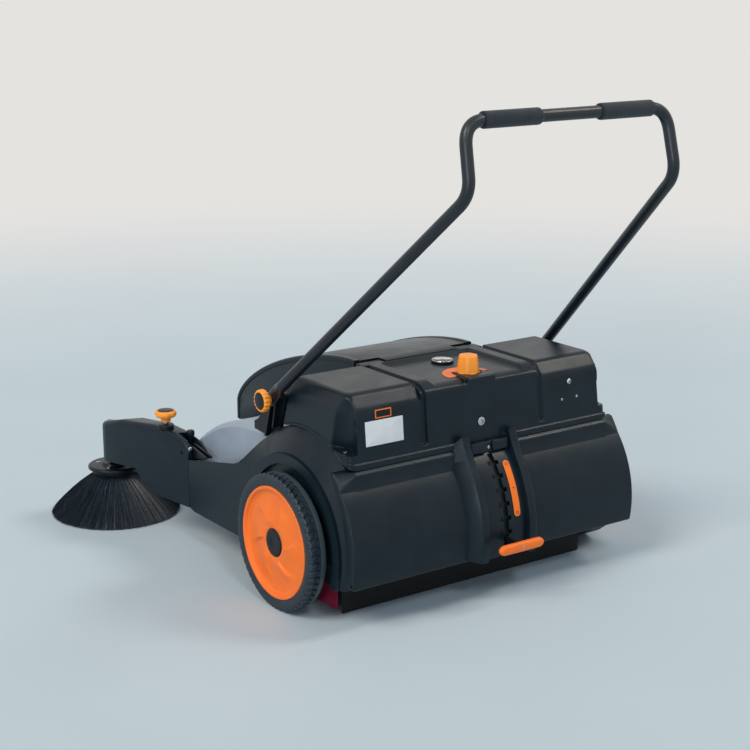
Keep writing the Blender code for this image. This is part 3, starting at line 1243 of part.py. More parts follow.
def arm_profile(along):
    """Top and bottom heights of the arm cover at a distance in front of its rear end."""
    tops = [(0.0, 0.232), (0.022, 0.254), (0.058, 0.265), (0.131, 0.272), (0.245, 0.263), (0.300, 0.249), (0.36, 0.232)]
    bottoms = [(0.0, 0.090), (0.140, 0.097), (0.177, 0.117), (0.193, 0.148), (0.36, 0.141)]
    heights = []
    for table in (tops, bottoms):
        for (a, za), (b, zb) in zip(table, table[1:]):
            if a <= along <= b:
                heights.append(za + (zb - za) * (along - a) / (b - a))
                break
    return heights


def make_arms(root, looks):
    """Side brush arms: cover, slotted rear end on a cross pin, star knob, brush disc and bristle cone."""
    for side, sign in (("left", 1), ("right", -1)):
        pivot = Vector((sign * ARM_PIVOT[0], ARM_PIVOT[1], ARM_PIVOT[2]))
        axis = add_empty(f"arm_{side}_axis", pivot, root, sign * ARM_YAW)
        back = ARM_REAR_Y - ARM_PIVOT[1]
        reach = ARM_REACH
        rings = []
        for along in (0.0, 0.022, 0.058, 0.131, 0.177, 0.193, 0.245, 0.275, 0.304, 0.320, 0.333, 0.341, 0.345):
            top, bottom = arm_profile(along)
            centre = ARM_ROUND_ALONG
            half = ARM_REAR_HALF + (ARM_FRONT_HALF - ARM_REAR_HALF) * min(1.0, along / centre)
            if along > centre:
                half = math.sqrt(max(ARM_FRONT_HALF ** 2 - (along - centre) ** 2, 0.004 ** 2))
            corner = min(0.012, half * 0.8)
            skew = sign * math.tan(ARM_YAW) * max(0.0, 1 - along / 0.022)
            outline = rounded_rectangle(half, bottom - ARM_PIVOT[2], top - ARM_PIVOT[2], corner)
            ring = []
            for x, z in outline:
                if z > bottom - ARM_PIVOT[2]:
                    z -= ARM_TOP_SLOPE * (half - sign * x)
                ring.append(Vector((x, back - along - x * skew, z)))
            rings.append(ring)
        cover = add_solid(f"arm_cover_{side}", loft(rings), looks["body"], axis)
        slot = add_solid("slot", box((-ARM_SLOT_HALF, back - 0.055, -0.055), (ARM_SLOT_HALF, back + 0.02, 0.08)))
        pin = add_solid("pin", rod(ARM_PIN_RADIUS + PIN_PLAY, -0.05, 0.05, steps=16))
        pin.data.transform(Matrix.Rotation(-sign * ARM_YAW, 4, "Z"))
        socket = add_solid("socket", rod(0.0125, -0.12, DISC_Z + 0.058 - ARM_PIVOT[2], Z_AXIS, (0, -reach, 0)))
        stem_y = back - STAR_KNOB_REACH
        stem_x = sign * STAR_KNOB_OFFSET
        stem = add_solid("stem", rod(STEM_RADIUS + PIN_PLAY, -0.03, 0.1, Z_AXIS, (stem_x, stem_y, 0), 16))
        cut(cover, slot, pin, socket, stem)
        make_star_knob(side, axis, stem_x, stem_y, looks)
        make_side_brush(side, axis, reach, looks)
        make_arm_bracket(side, sign, root, looks)


def make_star_knob(side, arm_axis, x, y, looks):
    """A six-lobed knob on a steel stem that sets the brush's height."""
    top = arm_profile(STAR_KNOB_REACH)[0] - ARM_PIVOT[2]
    axis = add_empty(f"star_knob_{side}_axis", (x, y, top - 0.004), arm_axis)
    rings = []
    for z, radius in ((0.018, 0.009), (0.026, 0.010), (0.029, STAR_KNOB_RADIUS - 0.004), (0.033, STAR_KNOB_RADIUS),
                      (0.042, STAR_KNOB_RADIUS), (0.046, STAR_KNOB_RADIUS - 0.005)):
        dip = 0.004 if radius > 0.015 else 0.0
        ring = []
        for i in range(24):
            angle = 2 * math.pi * i / 24
            r = radius - dip * (0.5 - 0.5 * math.cos(6 * angle))
            ring.append(Vector((r * math.cos(angle), r * math.sin(angle), z)))
        rings.append(ring)
    knob = add_solid(f"star_knob_{side}", loft(rings), looks["knob"], axis)
    stem = add_solid("stem", rod(STEM_RADIUS, -0.025, 0.022, Z_AXIS, steps=16))
    join(knob, stem)


def make_side_brush(side, arm_axis, reach, looks):
    """The cone brush: a disc on a short shaft with a ring of splayed bristle under it."""
    axis = add_empty(f"side_brush_{side}_axis", (0, -reach, -ARM_PIVOT[2]), arm_axis)
    top = DISC_Z + DISC_THICKNESS
    profile = [(0, DISC_Z - 0.013), (CONE_TOP_RADIUS, DISC_Z - 0.013), (CONE_TOP_RADIUS, DISC_Z - 0.001),
               (DISC_RADIUS, DISC_Z), (DISC_RADIUS, top - 0.004), (DISC_RADIUS - 0.004, top), (0.030, top),
               (0.028, top + 0.006), (0.012, top + 0.006), (0.012, DISC_Z + 0.055), (0, DISC_Z + 0.055)]
    add_solid(f"brush_disc_{side}", turned(profile, 24, Z_AXIS, closed=False), looks["dark"], axis)
    root_z = DISC_Z - 0.013 - GAP
    foot = CONE_FLOOR_GAP
    bristle = [(0.030, root_z), (CONE_TOP_RADIUS, root_z), (0.078, 0.084), (0.118, 0.050),
               (CONE_FOOT_RADIUS, foot + 0.002), (CONE_FOOT_RADIUS - 0.004, foot), (0.112, foot),
               (0.088, 0.040), (0.052, 0.072)]
    add_solid(f"brush_bristles_{side}", turned(bristle, 28, Z_AXIS), looks["bristle"], axis)


def make_arm_bracket(side, sign, root, looks):
    """A finned bracket on the side frame's top that carries the arm's cross pin."""
    x, y, z = ARM_PIVOT
    half = ARM_SLOT_HALF - 0.006
    slope = (FRAME_MID_TOP[1] - FRAME_FRONT_TOP_Z) / (FRAME_MID_TOP[0] - FRAME_FRONT_Y)

    def seat(at):
        return FRAME_FRONT_TOP_Z + slope * (at - FRAME_FRONT_Y) + GAP

    lift = 0.0006
    base = [(FRAME_FRONT_Y, seat(FRAME_FRONT_Y) + lift), (FRAME_FRONT_Y + 0.055, seat(FRAME_FRONT_Y + 0.055) + lift),
            (FRAME_FRONT_Y + 0.055, seat(FRAME_FRONT_Y + 0.055) + 0.005), (y, z + 0.018), (y - 0.010, z + 0.014),
            (y - 0.012, z - 0.004), (y, z - 0.012), (FRAME_FRONT_Y, z - 0.011)]
    bracket = add_solid(f"arm_bracket_{side}", prism(base, sign * x - half, sign * x + half), looks["dark"], root)
    gap_low = FRAME_FRONT_TOP_Z + 0.0075
    between = add_solid("between", box((sign * x - half + 0.005, y - 0.03, gap_low),
                                       (sign * x + half - 0.005, FRAME_FRONT_Y + 0.060, z + 0.05)))
    cut(bracket, between)
    reach = ARM_REAR_HALF - 0.001
    pin = add_solid("pin", rod(ARM_PIN_RADIUS, sign * x - reach, sign * x + reach, centre=(0, y, z), steps=16))
    join(bracket, pin)


def make_castor(root, looks):
    """A swivel castor under the front bar: stem and fork, then its wheel."""
    swivel = add_empty("castor_swivel_axis", (0, CASTOR_Y, 0), root)
    under = FRONT_BAR_YZ[1] - FRONT_BAR_SIZE[1] / 2
    half = CASTOR_WHEEL_WIDTH / 2
    radius = CASTOR_WHEEL_RADIUS
    crown = under - RUN_GAP
    fork = add_solid("castor_fork", box((-half - 0.005, -0.012, crown - 0.006), (half + 0.005, 0.034, crown)),
                     looks["steel"], swivel)
    cheeks = []
    for sign in (1, -1):
        a = sign * (half + RUN_GAP)
        b = sign * (half + 0.0045)
        outline = [(-0.010, crown - 0.003), (0.030, crown - 0.003)]
        outline += arc((CASTOR_TRAIL, radius), 0.010, 0.0, -math.pi, 8)
        cheeks.append(add_solid("cheek", prism(outline, min(a, b), max(a, b))))
    stem = add_solid("stem", rod(CASTOR_STEM_RADIUS, crown - 0.003, under + FRONT_BAR_SIZE[1] + 0.004, Z_AXIS))
    pin = add_solid("pin", rod(0.004, -half - 0.003, half + 0.003, centre=(0, CASTOR_TRAIL, radius), steps=12))
    join(fork, *cheeks, stem, pin)
    axis = add_empty("castor_wheel_axis", (0, CASTOR_TRAIL, radius), swivel)
    tread = [(0.004 + PIN_PLAY, -half), (radius - 0.002, -half), (radius, -half + 0.002), (radius, half - 0.002),
             (radius - 0.002, half), (0.004 + PIN_PLAY, half)]
    add_solid("castor_wheel", turned(tread, 24), looks["rubber"], axis)


def centre_on_floor(root):
    """Move the root so that the origin is the middle of the whole box, at floor level."""
    bpy.context.view_layer.update()
    corners = [item.matrix_world @ vert.co for item in bpy.data.objects if item.type == "MESH"
               for vert in item.data.vertices]
    low = [min(c[k] for c in corners) for k in range(3)]
    high = [max(c[k] for c in corners) for k in range(3)]
    root.location = [-round((low[k] + high[k]) / 2, 5) for k in range(2)] + [-round(low[2], 5)]
    bpy.context.view_layer.update()


def build():
    clear_scene()
    looks = {
        "body": make_material("Body plastic", (0.020, 0.024, 0.028), 0.55),
        "dark": make_material("Dark plastic", (0.012, 0.013, 0.015), 0.50),
        "hood": make_material("Hood plastic", (0.250, 0.310, 0.370), 0.40),
        "orange": make_material("Orange plastic", (0.900, 0.170, 0.025), 0.40),
        "knob": make_material("Knob plastic", (0.950, 0.280, 0.020), 0.40),
        "tyre": make_material("Tyre rubber", (0.018, 0.019, 0.020), 0.80),
        "rubber": make_material("Seal rubber", (0.012, 0.012, 0.012), 0.85),
        "flap": make_material("Flap rubber", (0.240, 0.005, 0.030), 0.70),
        "foam": make_material("Grip foam", (0.015, 0.015, 0.016), 0.95),
        "tube": make_material("Powder coat", (0.014, 0.018, 0.022), 0.45),
        "steel": make_material("Zinc steel", (0.550, 0.560, 0.570), 0.35, 1.0),
        "nylon": make_material("Gear nylon", (0.600, 0.580, 0.520), 0.45),
        "bristle": make_material("Bristle", (0.012, 0.014, 0.018), 0.70),
        "glass": make_material("Gauge glass", (0.700, 0.740, 0.740), 0.10),
    }
    root = add_empty("sweeper", (0, 0, 0))
    make_wheels(root, looks)
    for side, sign in (("left", 1), ("right", -1)):
        axle = make_stub_axle(f"stub_axle_{side}", looks["steel"], root)
        if sign < 0:
            axle.rotation_euler = (0, 0, math.pi)
    make_layshaft(root, looks)
    carriage, brush = make_carriage(root, looks)
    make_roller(carriage, brush, looks)
    make_side_frame(root, looks)
    make_hood(root, looks)
    make_front_cover(root, looks)
    make_rear_cover(root, looks)
    make_controls(root, looks)
    container = make_bin(root, looks)
    make_lever(container, looks)
    make_cross_members(root, looks)
    make_ramp_and_seals(root, looks)
    make_handle(root, looks)
    make_arms(root, looks)
    make_castor(root, looks)
    centre_on_floor(root)


build()
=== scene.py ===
"""Manual floor sweeper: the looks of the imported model.

Laid out as a Blender add-on. Each operator makes one piece or one group of like pieces as surfaces
worked out with numpy, gives it its finish and lets it ride on the body that carries it.
Coordinates below are the machine's own: metres, +Z up, the front faces -Y, the origin lies on the
floor under the middle of the wheel axle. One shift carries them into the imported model's frame.
"""

import json
import math

import bmesh
import bpy
import numpy as np
from bpy.props import FloatProperty, IntProperty, PointerProperty, StringProperty
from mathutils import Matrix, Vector

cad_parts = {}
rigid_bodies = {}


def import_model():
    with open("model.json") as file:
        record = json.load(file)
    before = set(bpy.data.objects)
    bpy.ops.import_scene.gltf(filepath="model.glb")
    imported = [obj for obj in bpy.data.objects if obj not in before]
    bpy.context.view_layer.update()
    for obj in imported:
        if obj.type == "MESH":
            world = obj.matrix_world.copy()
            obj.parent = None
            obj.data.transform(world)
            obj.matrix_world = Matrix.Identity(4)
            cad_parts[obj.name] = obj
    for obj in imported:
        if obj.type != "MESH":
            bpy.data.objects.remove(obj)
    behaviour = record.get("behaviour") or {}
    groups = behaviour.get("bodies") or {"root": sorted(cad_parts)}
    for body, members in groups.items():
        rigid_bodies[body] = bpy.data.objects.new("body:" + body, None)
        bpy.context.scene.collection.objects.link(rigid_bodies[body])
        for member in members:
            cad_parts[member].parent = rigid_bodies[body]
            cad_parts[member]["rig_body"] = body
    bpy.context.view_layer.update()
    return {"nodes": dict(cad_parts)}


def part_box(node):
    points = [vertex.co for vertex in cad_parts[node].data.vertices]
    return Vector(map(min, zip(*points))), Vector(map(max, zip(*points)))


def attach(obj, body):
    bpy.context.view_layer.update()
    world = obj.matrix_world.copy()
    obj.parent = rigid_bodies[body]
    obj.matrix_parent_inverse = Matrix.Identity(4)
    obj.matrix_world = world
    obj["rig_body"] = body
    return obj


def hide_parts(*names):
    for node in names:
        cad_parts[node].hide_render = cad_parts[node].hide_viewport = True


bl_info = {
    "name": "Manual floor sweeper",
    "version": (1, 0, 0),
    "blender": (4, 5, 0),
    "location": "View3D > Sidebar > Sweeper",
    "description": "Builds the visible pieces and finishes of a push-along floor sweeper",
    "category": "Object",
}

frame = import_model()

_low, _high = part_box("hub_cap_left")
SHIFT = np.array([0.0, (_low[1] + _high[1]) / 2, 0.0])
AXLE_Z = (_low[2] + _high[2]) / 2
SIDES = (("left", 1.0), ("right", -1.0))

# Places measured on the machine, in metres
WHEEL = (0.418, 0.0, AXLE_Z)
PIVOT = np.array([0.375, -0.1, 0.435])
KINK = np.array([0.267, 0.441, 0.93])
CORNER = np.array([0.2605, 0.4112, 1.064])
BRUSH = (0.4198, -0.7838)
KNOB = (0.0, 0.108, 0.481)
TRAY_Z = 0.481
TOP_Z = 0.49
SHOULDER_Z = 0.457
FOOT_Z = 0.349
REAR_WALL = ((0.159, SHOULDER_Z), (0.169, FOOT_Z))
ROLLER = (-0.3, 0.131)
SPINE = 0.25
STRIP_X = -0.0312

# Each finish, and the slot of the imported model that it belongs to
BODY, BLACK, GREY = "Spark-textured polypropylene", "Moulded black polyamide", "Polished grey ABS"
ORANGE, AMBER = "Satin orange polypropylene", "Satin amber polyamide"
ZINC, TUBE, FOAM = "Zinc-plated steel", "Powder-coated steel tube", "Nitrile foam"
TYRE, SEAL, FILAMENT = "Moulded tyre rubber", "Extruded seal rubber", "Polypropylene filament"
CAST, FLAP, FILM = "Natural cast polyamide", "Sheet urethane, dark red", "Satin blank film"
CHROME, ENAMEL, INK = "Chromed bezel", "Enamelled gauge face", "Printed gauge ink"
WINDOW, FLOOR = "Clear acrylic window", "Pale sealed floor"


# Shapes
def unit(vectors):
    """Vectors scaled to length one along their last axis."""
    vectors = np.asarray(vectors, float)
    return vectors / np.maximum(np.linalg.norm(vectors, axis=-1, keepdims=True), 1e-12)


def skin(grid, around=False, along=False):
    """Quads over an (n, m, 3) grid: rows join along the first axis, columns round the second."""
    n, m = grid.shape[:2]
    row = np.arange(n if along else n - 1)[:, None]
    col = np.arange(m if around else m - 1)[None, :]
    ahead = (row + 1) % n
    beside = (col + 1) % m
    quads = np.stack([row * m + col, row * m + beside, ahead * m + beside, ahead * m + col], -1)
    return grid.reshape(-1, 3), [quads.reshape(-1, 4)]


def fan(ring):
    """Triangles from a ring's middle to its edge, which close it."""
    k = len(ring)
    points = np.vstack([ring, ring.mean(0)])
    i = np.arange(k)
    return points, [np.stack([i, (i + 1) % k, np.full(k, k)], -1)]


def loft(rings):
    """A closed solid: a skin over equal rings, with a fan on the first and the last."""
    rings = np.asarray(rings, float)
    return [skin(rings, around=True), fan(rings[0]), fan(rings[-1])]


def eased(points, radius, steps=4, closed=False):
    """Rounds a path's corners: each becomes a quadratic curve between points set back by the radius."""
    p = np.asarray(points, float)
    r = np.broadcast_to(np.asarray(radius, float), (len(p),))[:, None]
    back = np.roll(p, 1, 0) - p
    ahead = np.roll(p, -1, 0) - p
    back_length = np.maximum(np.linalg.norm(back, axis=1, keepdims=True), 1e-9)
    ahead_length = np.maximum(np.linalg.norm(ahead, axis=1, keepdims=True), 1e-9)
    a = p + back * np.minimum(r / back_length, 0.48)
    b = p + ahead * np.minimum(r / ahead_length, 0.48)
    t = np.linspace(0, 1, steps + 1)[None, :, None]
    curve = (1 - t) ** 2 * a[:, None] + 2 * t * (1 - t) * p[:, None] + t ** 2 * b[:, None]
    if closed:
        return curve.reshape(-1, p.shape[1])
    return np.vstack([p[:1], curve[1:-1].reshape(-1, p.shape[1]), p[-1:]])


def turned(profile, steps=64, axis=0, centre=(0, 0, 0), closed=False, ripple=None):
    """Revolves (radius, along) pairs about an axis: radius times (cos, sin) of the angle, plus along.

    ripple(angle, radius, along) may return new radius and along arrays.
    """
    profile = np.asarray(profile, float)
    angle = np.linspace(0, 2 * np.pi, steps, endpoint=False)[:, None]
    radius = np.broadcast_to(profile[:, 0], (steps, len(profile)))
    along = np.broadcast_to(profile[:, 1], (steps, len(profile)))
    if ripple:
        radius, along = ripple(np.broadcast_to(angle, radius.shape), radius, along)
    grid = np.zeros((steps, len(profile), 3))
    first, second = [(1, 2), (2, 0), (0, 1)][axis]
    grid[..., axis] = along
    grid[..., first] = radius * np.cos(angle)
    grid[..., second] = radius * np.sin(angle)
    grid += np.asarray(centre, float)
    return skin(grid, around=closed, along=True)


def offset(outline, distance):
    """Moves a closed outline inwards along its corner normals by a distance."""
    outline = np.asarray(outline, float)
    edge = unit(np.roll(outline, -1, 0) - outline)
    normal = np.stack([edge[:, 1], -edge[:, 0]], -1)
    corner = unit(normal + np.roll(normal, 1, 0))
    area = np.sum(outline[:, 0] * np.roll(outline[:, 1], -1) - np.roll(outline[:, 0], -1) * outline[:, 1])
    return outline - corner * distance * np.sign(area)


def plate(outline, low, high, edge, to_space):
    """A flat piece with a softened rim: the outline drawn in by a quarter circle at both faces.

    to_space(u, v, w) maps the outline's plane and the height above it to points.
    """
    turn = np.linspace(0, np.pi / 2, 4)
    inset = np.concatenate([edge * (1 - np.sin(turn)), edge * (1 - np.cos(turn))])
    height = np.concatenate([low + edge * (1 - np.cos(turn)), high - edge * (1 - np.sin(turn))])
    rings = []
    for d, w in zip(inset, height):
        ring = offset(outline, d)
        rings.append(np.stack(to_space(ring[:, 0], ring[:, 1], np.full(len(ring), w)), -1))
    return loft(rings)


def rounded_box_outline(half_u, half_v, radius, steps=5):
    """A rectangle about the origin with rounded corners, counter-clockwise."""
    corners = [(half_u, -half_v), (half_u, half_v), (-half_u, half_v), (-half_u, -half_v)]
    return eased(corners, radius, steps, closed=True)


def on_plane(origin, u_axis, v_axis):
    """A map from (u, v, w) to space: origin + u along one axis + v along another + w along their normal."""
    origin, u_axis, v_axis = (np.asarray(a, float) for a in (origin, u_axis, v_axis))
    normal = np.cross(u_axis, v_axis)

    def to_space(u, v, w):
        points = origin + u[..., None] * u_axis + v[..., None] * v_axis + w[..., None] * normal
        return points[..., 0], points[..., 1], points[..., 2]
    return to_space


def axes_for(normal):
    """Two unit axes across a normal, right-handed with it."""
    normal = unit(np.asarray(normal, float))
    side = np.array([0.0, 0.0, 1.0]) if abs(normal[2]) < 0.9 else np.array([1.0, 0.0, 0.0])
    u = unit(np.cross(side, normal))
    return u, np.cross(normal, u)


def screw(centre, normal, radius, height, kind="cross"):
    """A screw head: a dome of revolution, its middle sunk where angle and radius lie in the drive's shape."""
    angle = np.linspace(0, 2 * np.pi, 48, endpoint=False)[:, None]
    share = np.concatenate([np.linspace(0, 0.55, 12), np.linspace(0.62, 1, 8)])[None, :]
    rise = np.sqrt(np.maximum(0.0, 1 - (share * 0.92) ** 2))
    across, up = share * np.cos(angle), share * np.sin(angle)
    if kind == "cross":
        inside = (np.minimum(np.abs(across), np.abs(up)) < 0.13) & (share < 0.55)
    else:
        inside = share * np.cos((angle % (np.pi / 3)) - np.pi / 6) < 0.4
    rise = np.where(inside, rise * 0.3, rise)
    u, v = axes_for(normal)
    top = (np.asarray(centre, float) + radius * (across[..., None] * u + up[..., None] * v)
           + height * rise[..., None] * unit(normal))
    foot = np.asarray(centre, float) + radius * (np.cos(angle)[..., None] * u + np.sin(angle)[..., None] * v)
    grid = np.concatenate([top, foot, foot * 0.0 + np.asarray(centre, float)], axis=1)
    return skin(grid, along=True)


def tube(path, wide, tall, sides):
    """Carries an ellipse of half-width and half-height arrays along a path, turned as little as can be."""
    path = np.asarray(path, float)
    ahead = unit(np.gradient(path, axis=0))
    side = np.zeros_like(path)
    current = np.array([1.0, 0.0, 0.0])
    for i, direction in enumerate(ahead):
        current = unit(current - direction * np.dot(current, direction))
        side[i] = current
    up = np.cross(ahead, side)
    angle = np.linspace(0, 2 * np.pi, sides, endpoint=False)
    wide = np.broadcast_to(wide, len(path))[:, None, None]
    tall = np.broadcast_to(tall, len(path))[:, None, None]
    return (path[:, None] + side[:, None] * wide * np.cos(angle)[None, :, None]
            + up[:, None] * tall * np.sin(angle)[None, :, None])


def strands(start, middle, end, root, tip, sides=3, steps=5):
    """Filaments: quadratic curves from start past middle to end, with a small round section that tapers."""
    t = np.linspace(0, 1, steps + 1)[None, :, None]
    line = (1 - t) ** 2 * start[:, None] + 2 * t * (1 - t) * middle[:, None] + t ** 2 * end[:, None]
    ahead = unit(np.gradient(line, axis=1))
    side = unit(np.cross(ahead, np.array([0.31, 0.17, 0.93])))
    up = np.cross(ahead, side)
    angle = np.linspace(0, 2 * np.pi, sides, endpoint=False)[None, None, :, None]
    width = (root + (tip - root) * t)[:, :, None]
    points = line[:, :, None] + width * (side[:, :, None] * np.cos(angle) + up[:, :, None] * np.sin(angle))
    n, k = points.shape[:2]
    base = (np.arange(n) * k * sides)[:, None, None]
    row = (np.arange(k - 1) * sides)[None, :, None]
    col = np.arange(sides)[None, None, :]
    beside = (col + 1) % sides
    quads = np.stack([base + row + col, base + row + beside, base + row + sides + beside,
                      base + row + sides + col], -1)
    last = base[:, :, 0] + (k - 1) * sides + np.arange(sides)[None]
    first = base[:, :, 0] + np.arange(sides)[None, ::-1]
    return points.reshape(-1, 3), [quads.reshape(-1, 4), last.reshape(-1, sides), first.reshape(-1, sides)]


def soft_max(a, b, reach):
    """The larger of two fields of distance, rounded over where they cross within the reach."""
    share = np.clip(0.5 + 0.5 * (a - b) / reach, 0, 1)
    return b + (a - b) * share + reach * share * (1 - share)


def soft_min(a, b, reach):
    """The smaller of two fields of distance, rounded in the same way."""
    return -soft_max(-a, -b, reach)


def step(value, low, high):
    """Rises smoothly from 0 at low to 1 at high."""
    share = np.clip((value - low) / (high - low), 0, 1)
    return share * share * (3 - 2 * share)


def plane(a, b, first, second):
    """Distance to the line through two (a, b) points, positive on the right of the way from one to the other."""
    (a0, b0), (a1, b1) = first, second
    length = math.hypot(a1 - a0, b1 - b0)
    return ((a - a0) * (b1 - b0) - (b - b0) * (a1 - a0)) / length


def cast(start, ahead, field, reach):
    """Carries points along their directions to where a field of distances crosses zero, by halving."""
    near = np.zeros(start.shape[:-1] + (1,))
    far = np.full_like(near, reach)
    for _ in range(24):
        middle = (near + far) / 2
        inside = field(start + ahead * middle)[..., None] < 0
        near = np.where(inside, middle, near)
        far = np.where(inside, far, middle)
    return start + ahead * (near + far) / 2


def flipped(part):
    """A part mirrored across X = 0."""
    points, faces = part
    return points * np.array([-1.0, 1.0, 1.0]), [block[:, ::-1] for block in faces]


def both(parts, sign):
    """Parts for one side of the machine: as they are on the left, mirrored on the right."""
    return parts if sign > 0 else [flipped(part) for part in parts]


def mirrored(parts):
    """Parts with their mirror images across X = 0."""
    return parts + both(parts, -1)


def lathe(points, rounding, steps, turns, centre, axis=2, closed=False, ripple=None):
    """Turns a profile whose corners are eased first."""
    return turned(eased(points, rounding, steps, closed), turns, axis, centre, closed, ripple)


def about_axle(radius, turn):
    """(Y, Z) points at a radius and an angle round the wheel axle."""
    return np.stack(np.broadcast_arrays(radius * np.cos(turn), AXLE_Z + radius * np.sin(turn)), -1)


def normals(line):
    """Unit normals of a (Y, Z) line, on the right of its way."""
    ahead = unit(np.gradient(line, axis=-2))
    return np.stack([ahead[..., 1], -ahead[..., 0]], -1)


def swept(line, section):
    """Rings along a (Y, Z) line: a section's first number is X, its second lies along the line's normal."""
    rings = np.zeros((len(line), len(section), 3))
    rings[..., 0] = section[:, 0]
    rings[..., 1:] = line[:, None] + normals(line)[:, None] * section[:, 1][None, :, None]
    return rings


def make_mesh(name, parts, crease=35.0, merge=2e-6, shell=False):
    """Puts arrays of points and faces into one mesh, closes its seams and turns its faces outwards.

    An open surface, which has no inside, is a shell: it is turned away from its own middle.
    """
    points = np.vstack([part[0] for part in parts]) + SHIFT
    loops, sizes, base = [], [], 0
    for part, faces in parts:
        for block in faces:
            loops.append((block + base).ravel())
            sizes.append(np.full(len(block), block.shape[1]))
        base += len(part)
    loops, sizes = np.concatenate(loops), np.concatenate(sizes)
    starts = np.concatenate([[0], np.cumsum(sizes)[:-1]])
    mesh = bpy.data.meshes.new(name)
    mesh.vertices.add(len(points))
    mesh.vertices.foreach_set("co", points.astype(np.float32).ravel())
    mesh.loops.add(len(loops))
    mesh.loops.foreach_set("vertex_index", loops.astype(np.int32))
    mesh.polygons.add(len(sizes))
    mesh.polygons.foreach_set("loop_start", starts.astype(np.int32))
    mesh.update(calc_edges=True)
    mesh.validate()
    bm = bmesh.new()
    bm.from_mesh(mesh)
    bmesh.ops.remove_doubles(bm, verts=bm.verts, dist=merge)
    bmesh.ops.dissolve_degenerate(bm, edges=bm.edges, dist=1e-7)
    bmesh.ops.recalc_face_normals(bm, faces=bm.faces)
    if shell:
        middle = Vector(points.mean(0))
        if sum(f.calc_area() * f.normal.dot(f.calc_center_median() - middle) for f in bm.faces) < 0:
            bmesh.ops.reverse_faces(bm, faces=bm.faces)
    bm.to_mesh(mesh)
    bm.free()
    mesh.shade_smooth()
    mesh.set_sharp_from_angle(angle=math.radians(crease))
    return mesh


def new_piece(name, mesh, finish, body, nodes):
    """Links a mesh as a piece, paints it, says what it rides on and hides the CAD nodes it stands for."""
    mesh.materials.clear()
    mesh.materials.append(bpy.data.materials[finish])
    piece = bpy.data.objects.new(name, mesh)
    bpy.context.scene.collection.objects.link(piece)
    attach(piece, body)
    if nodes:
        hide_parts(*nodes)
    return piece


def add_piece(name, parts, finish, body, nodes=(), wall=0.0, **options):
    """Makes a piece from arrays; where a wall is given, its surface becomes a shell of that thickness."""
    piece = new_piece(name, make_mesh(name, parts, **options), finish, body, nodes)
    if wall:
        shell = piece.modifiers.new("Wall", "SOLIDIFY")
        shell.thickness = wall
        shell.offset = -1.0
    return piece


def soften(node, finish, width, segments=2, crease=30.0, move=None):
    """A merged copy of a CAD solid: its flat faces joined, its hard edges rounded by a bevel.

    move, where given, takes the vertices as an array in the machine's coordinates and gives it back changed.
    """
    source = frame["nodes"][node]
    bm = bmesh.new()
    bm.from_mesh(source.data)
    bmesh.ops.remove_doubles(bm, verts=bm.verts, dist=1e-5)
    bmesh.ops.dissolve_limit(bm, angle_limit=math.radians(0.6), verts=bm.verts, edges=bm.edges)
    bmesh.ops.recalc_face_normals(bm, faces=bm.faces)
    mesh = bpy.data.meshes.new(f"{node}_moulded")
    bm.to_mesh(mesh)
    bm.free()
    if move:
        points = np.empty(len(mesh.vertices) * 3, np.float32)
        mesh.vertices.foreach_get("co", points)
        points = move(points.reshape(-1, 3) - SHIFT) + SHIFT
        mesh.vertices.foreach_set("co", points.astype(np.float32).ravel())
        mesh.update()
    mesh.shade_smooth()
    mesh.set_sharp_from_angle(angle=math.radians(crease))
    piece = new_piece(mesh.name, mesh, finish, source["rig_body"], [node])
    rounding = piece.modifiers.new("Moulded edges", "BEVEL")
    rounding.width = width
    rounding.segments = segments
    rounding.limit_method = "ANGLE"
    rounding.angle_limit = math.radians(crease)
    rounding.harden_normals = True
    rounding.miter_outer = "MITER_ARC"


def paint(finish, *nodes):
    """Gives CAD nodes that stay in view their finish."""
    for node in nodes:
        slots = frame["nodes"][node].material_slots
        if len(slots) == 0:
            frame["nodes"][node].data.materials.append(bpy.data.materials[finish])
        for slot in slots:
            slot.material = bpy.data.materials[finish]


# Finishes
def linear(code):
    """An sRGB hex colour as linear RGBA."""
    channels = [int(code[i:i + 2], 16) / 255 for i in (1, 3, 5)]
    return (*[c / 12.92 if c <= 0.04045 else ((c + 0.055) / 1.055) ** 2.4 for c in channels], 1.0)


def add(tree, kind, values=None, links=None, **settings):
    """Adds one shader node, sets its attributes and input values, and links its inputs."""
    made = tree.nodes.new("ShaderNode" + kind)
    for key, value in settings.items():
        setattr(made, key, value)
    for key, value in (values or {}).items():
        made.inputs[key].default_value = value
    for key, source in (links or {}).items():
        tree.links.new(source, made.inputs[key])
    return made


def new_finish(name, colour, values):
    """A material with its Principled shader's own sockets set, and the place on the piece for its textures."""
    material = bpy.data.materials.new(name)
    material.use_nodes = True
    tree = material.node_tree
    shader = tree.nodes["Principled BSDF"]
    shader.inputs["Base Color"].default_value = linear(colour)
    for key, value in values.items():
        shader.inputs[key].default_value = value
    material.diffuse_color = linear(colour)
    return tree, shader, add(tree, "TexCoord").outputs["Object"]


def noise(tree, place, size_mm, detail, roughness=0.5):
    """Noise whose features are about that many millimetres wide."""
    values = {"Scale": 1000.0 / size_mm, "Detail": detail, "Roughness": roughness}
    return add(tree, "TexNoise", values, {"Vector": place}).outputs["Fac"]


def tint(tree, shader, factor, low, high, start=0.0, end=1.0):
    """Colours a shader by a factor: one hex colour up to the start, the other from the end on."""
    ramp = add(tree, "ValToRGB", None, {"Fac": factor})
    for stop, position, code in zip(ramp.color_ramp.elements, (start, end), (low, high)):
        stop.position = position
        stop.color = linear(code)
    tree.links.new(ramp.outputs["Color"], shader.inputs["Base Color"])


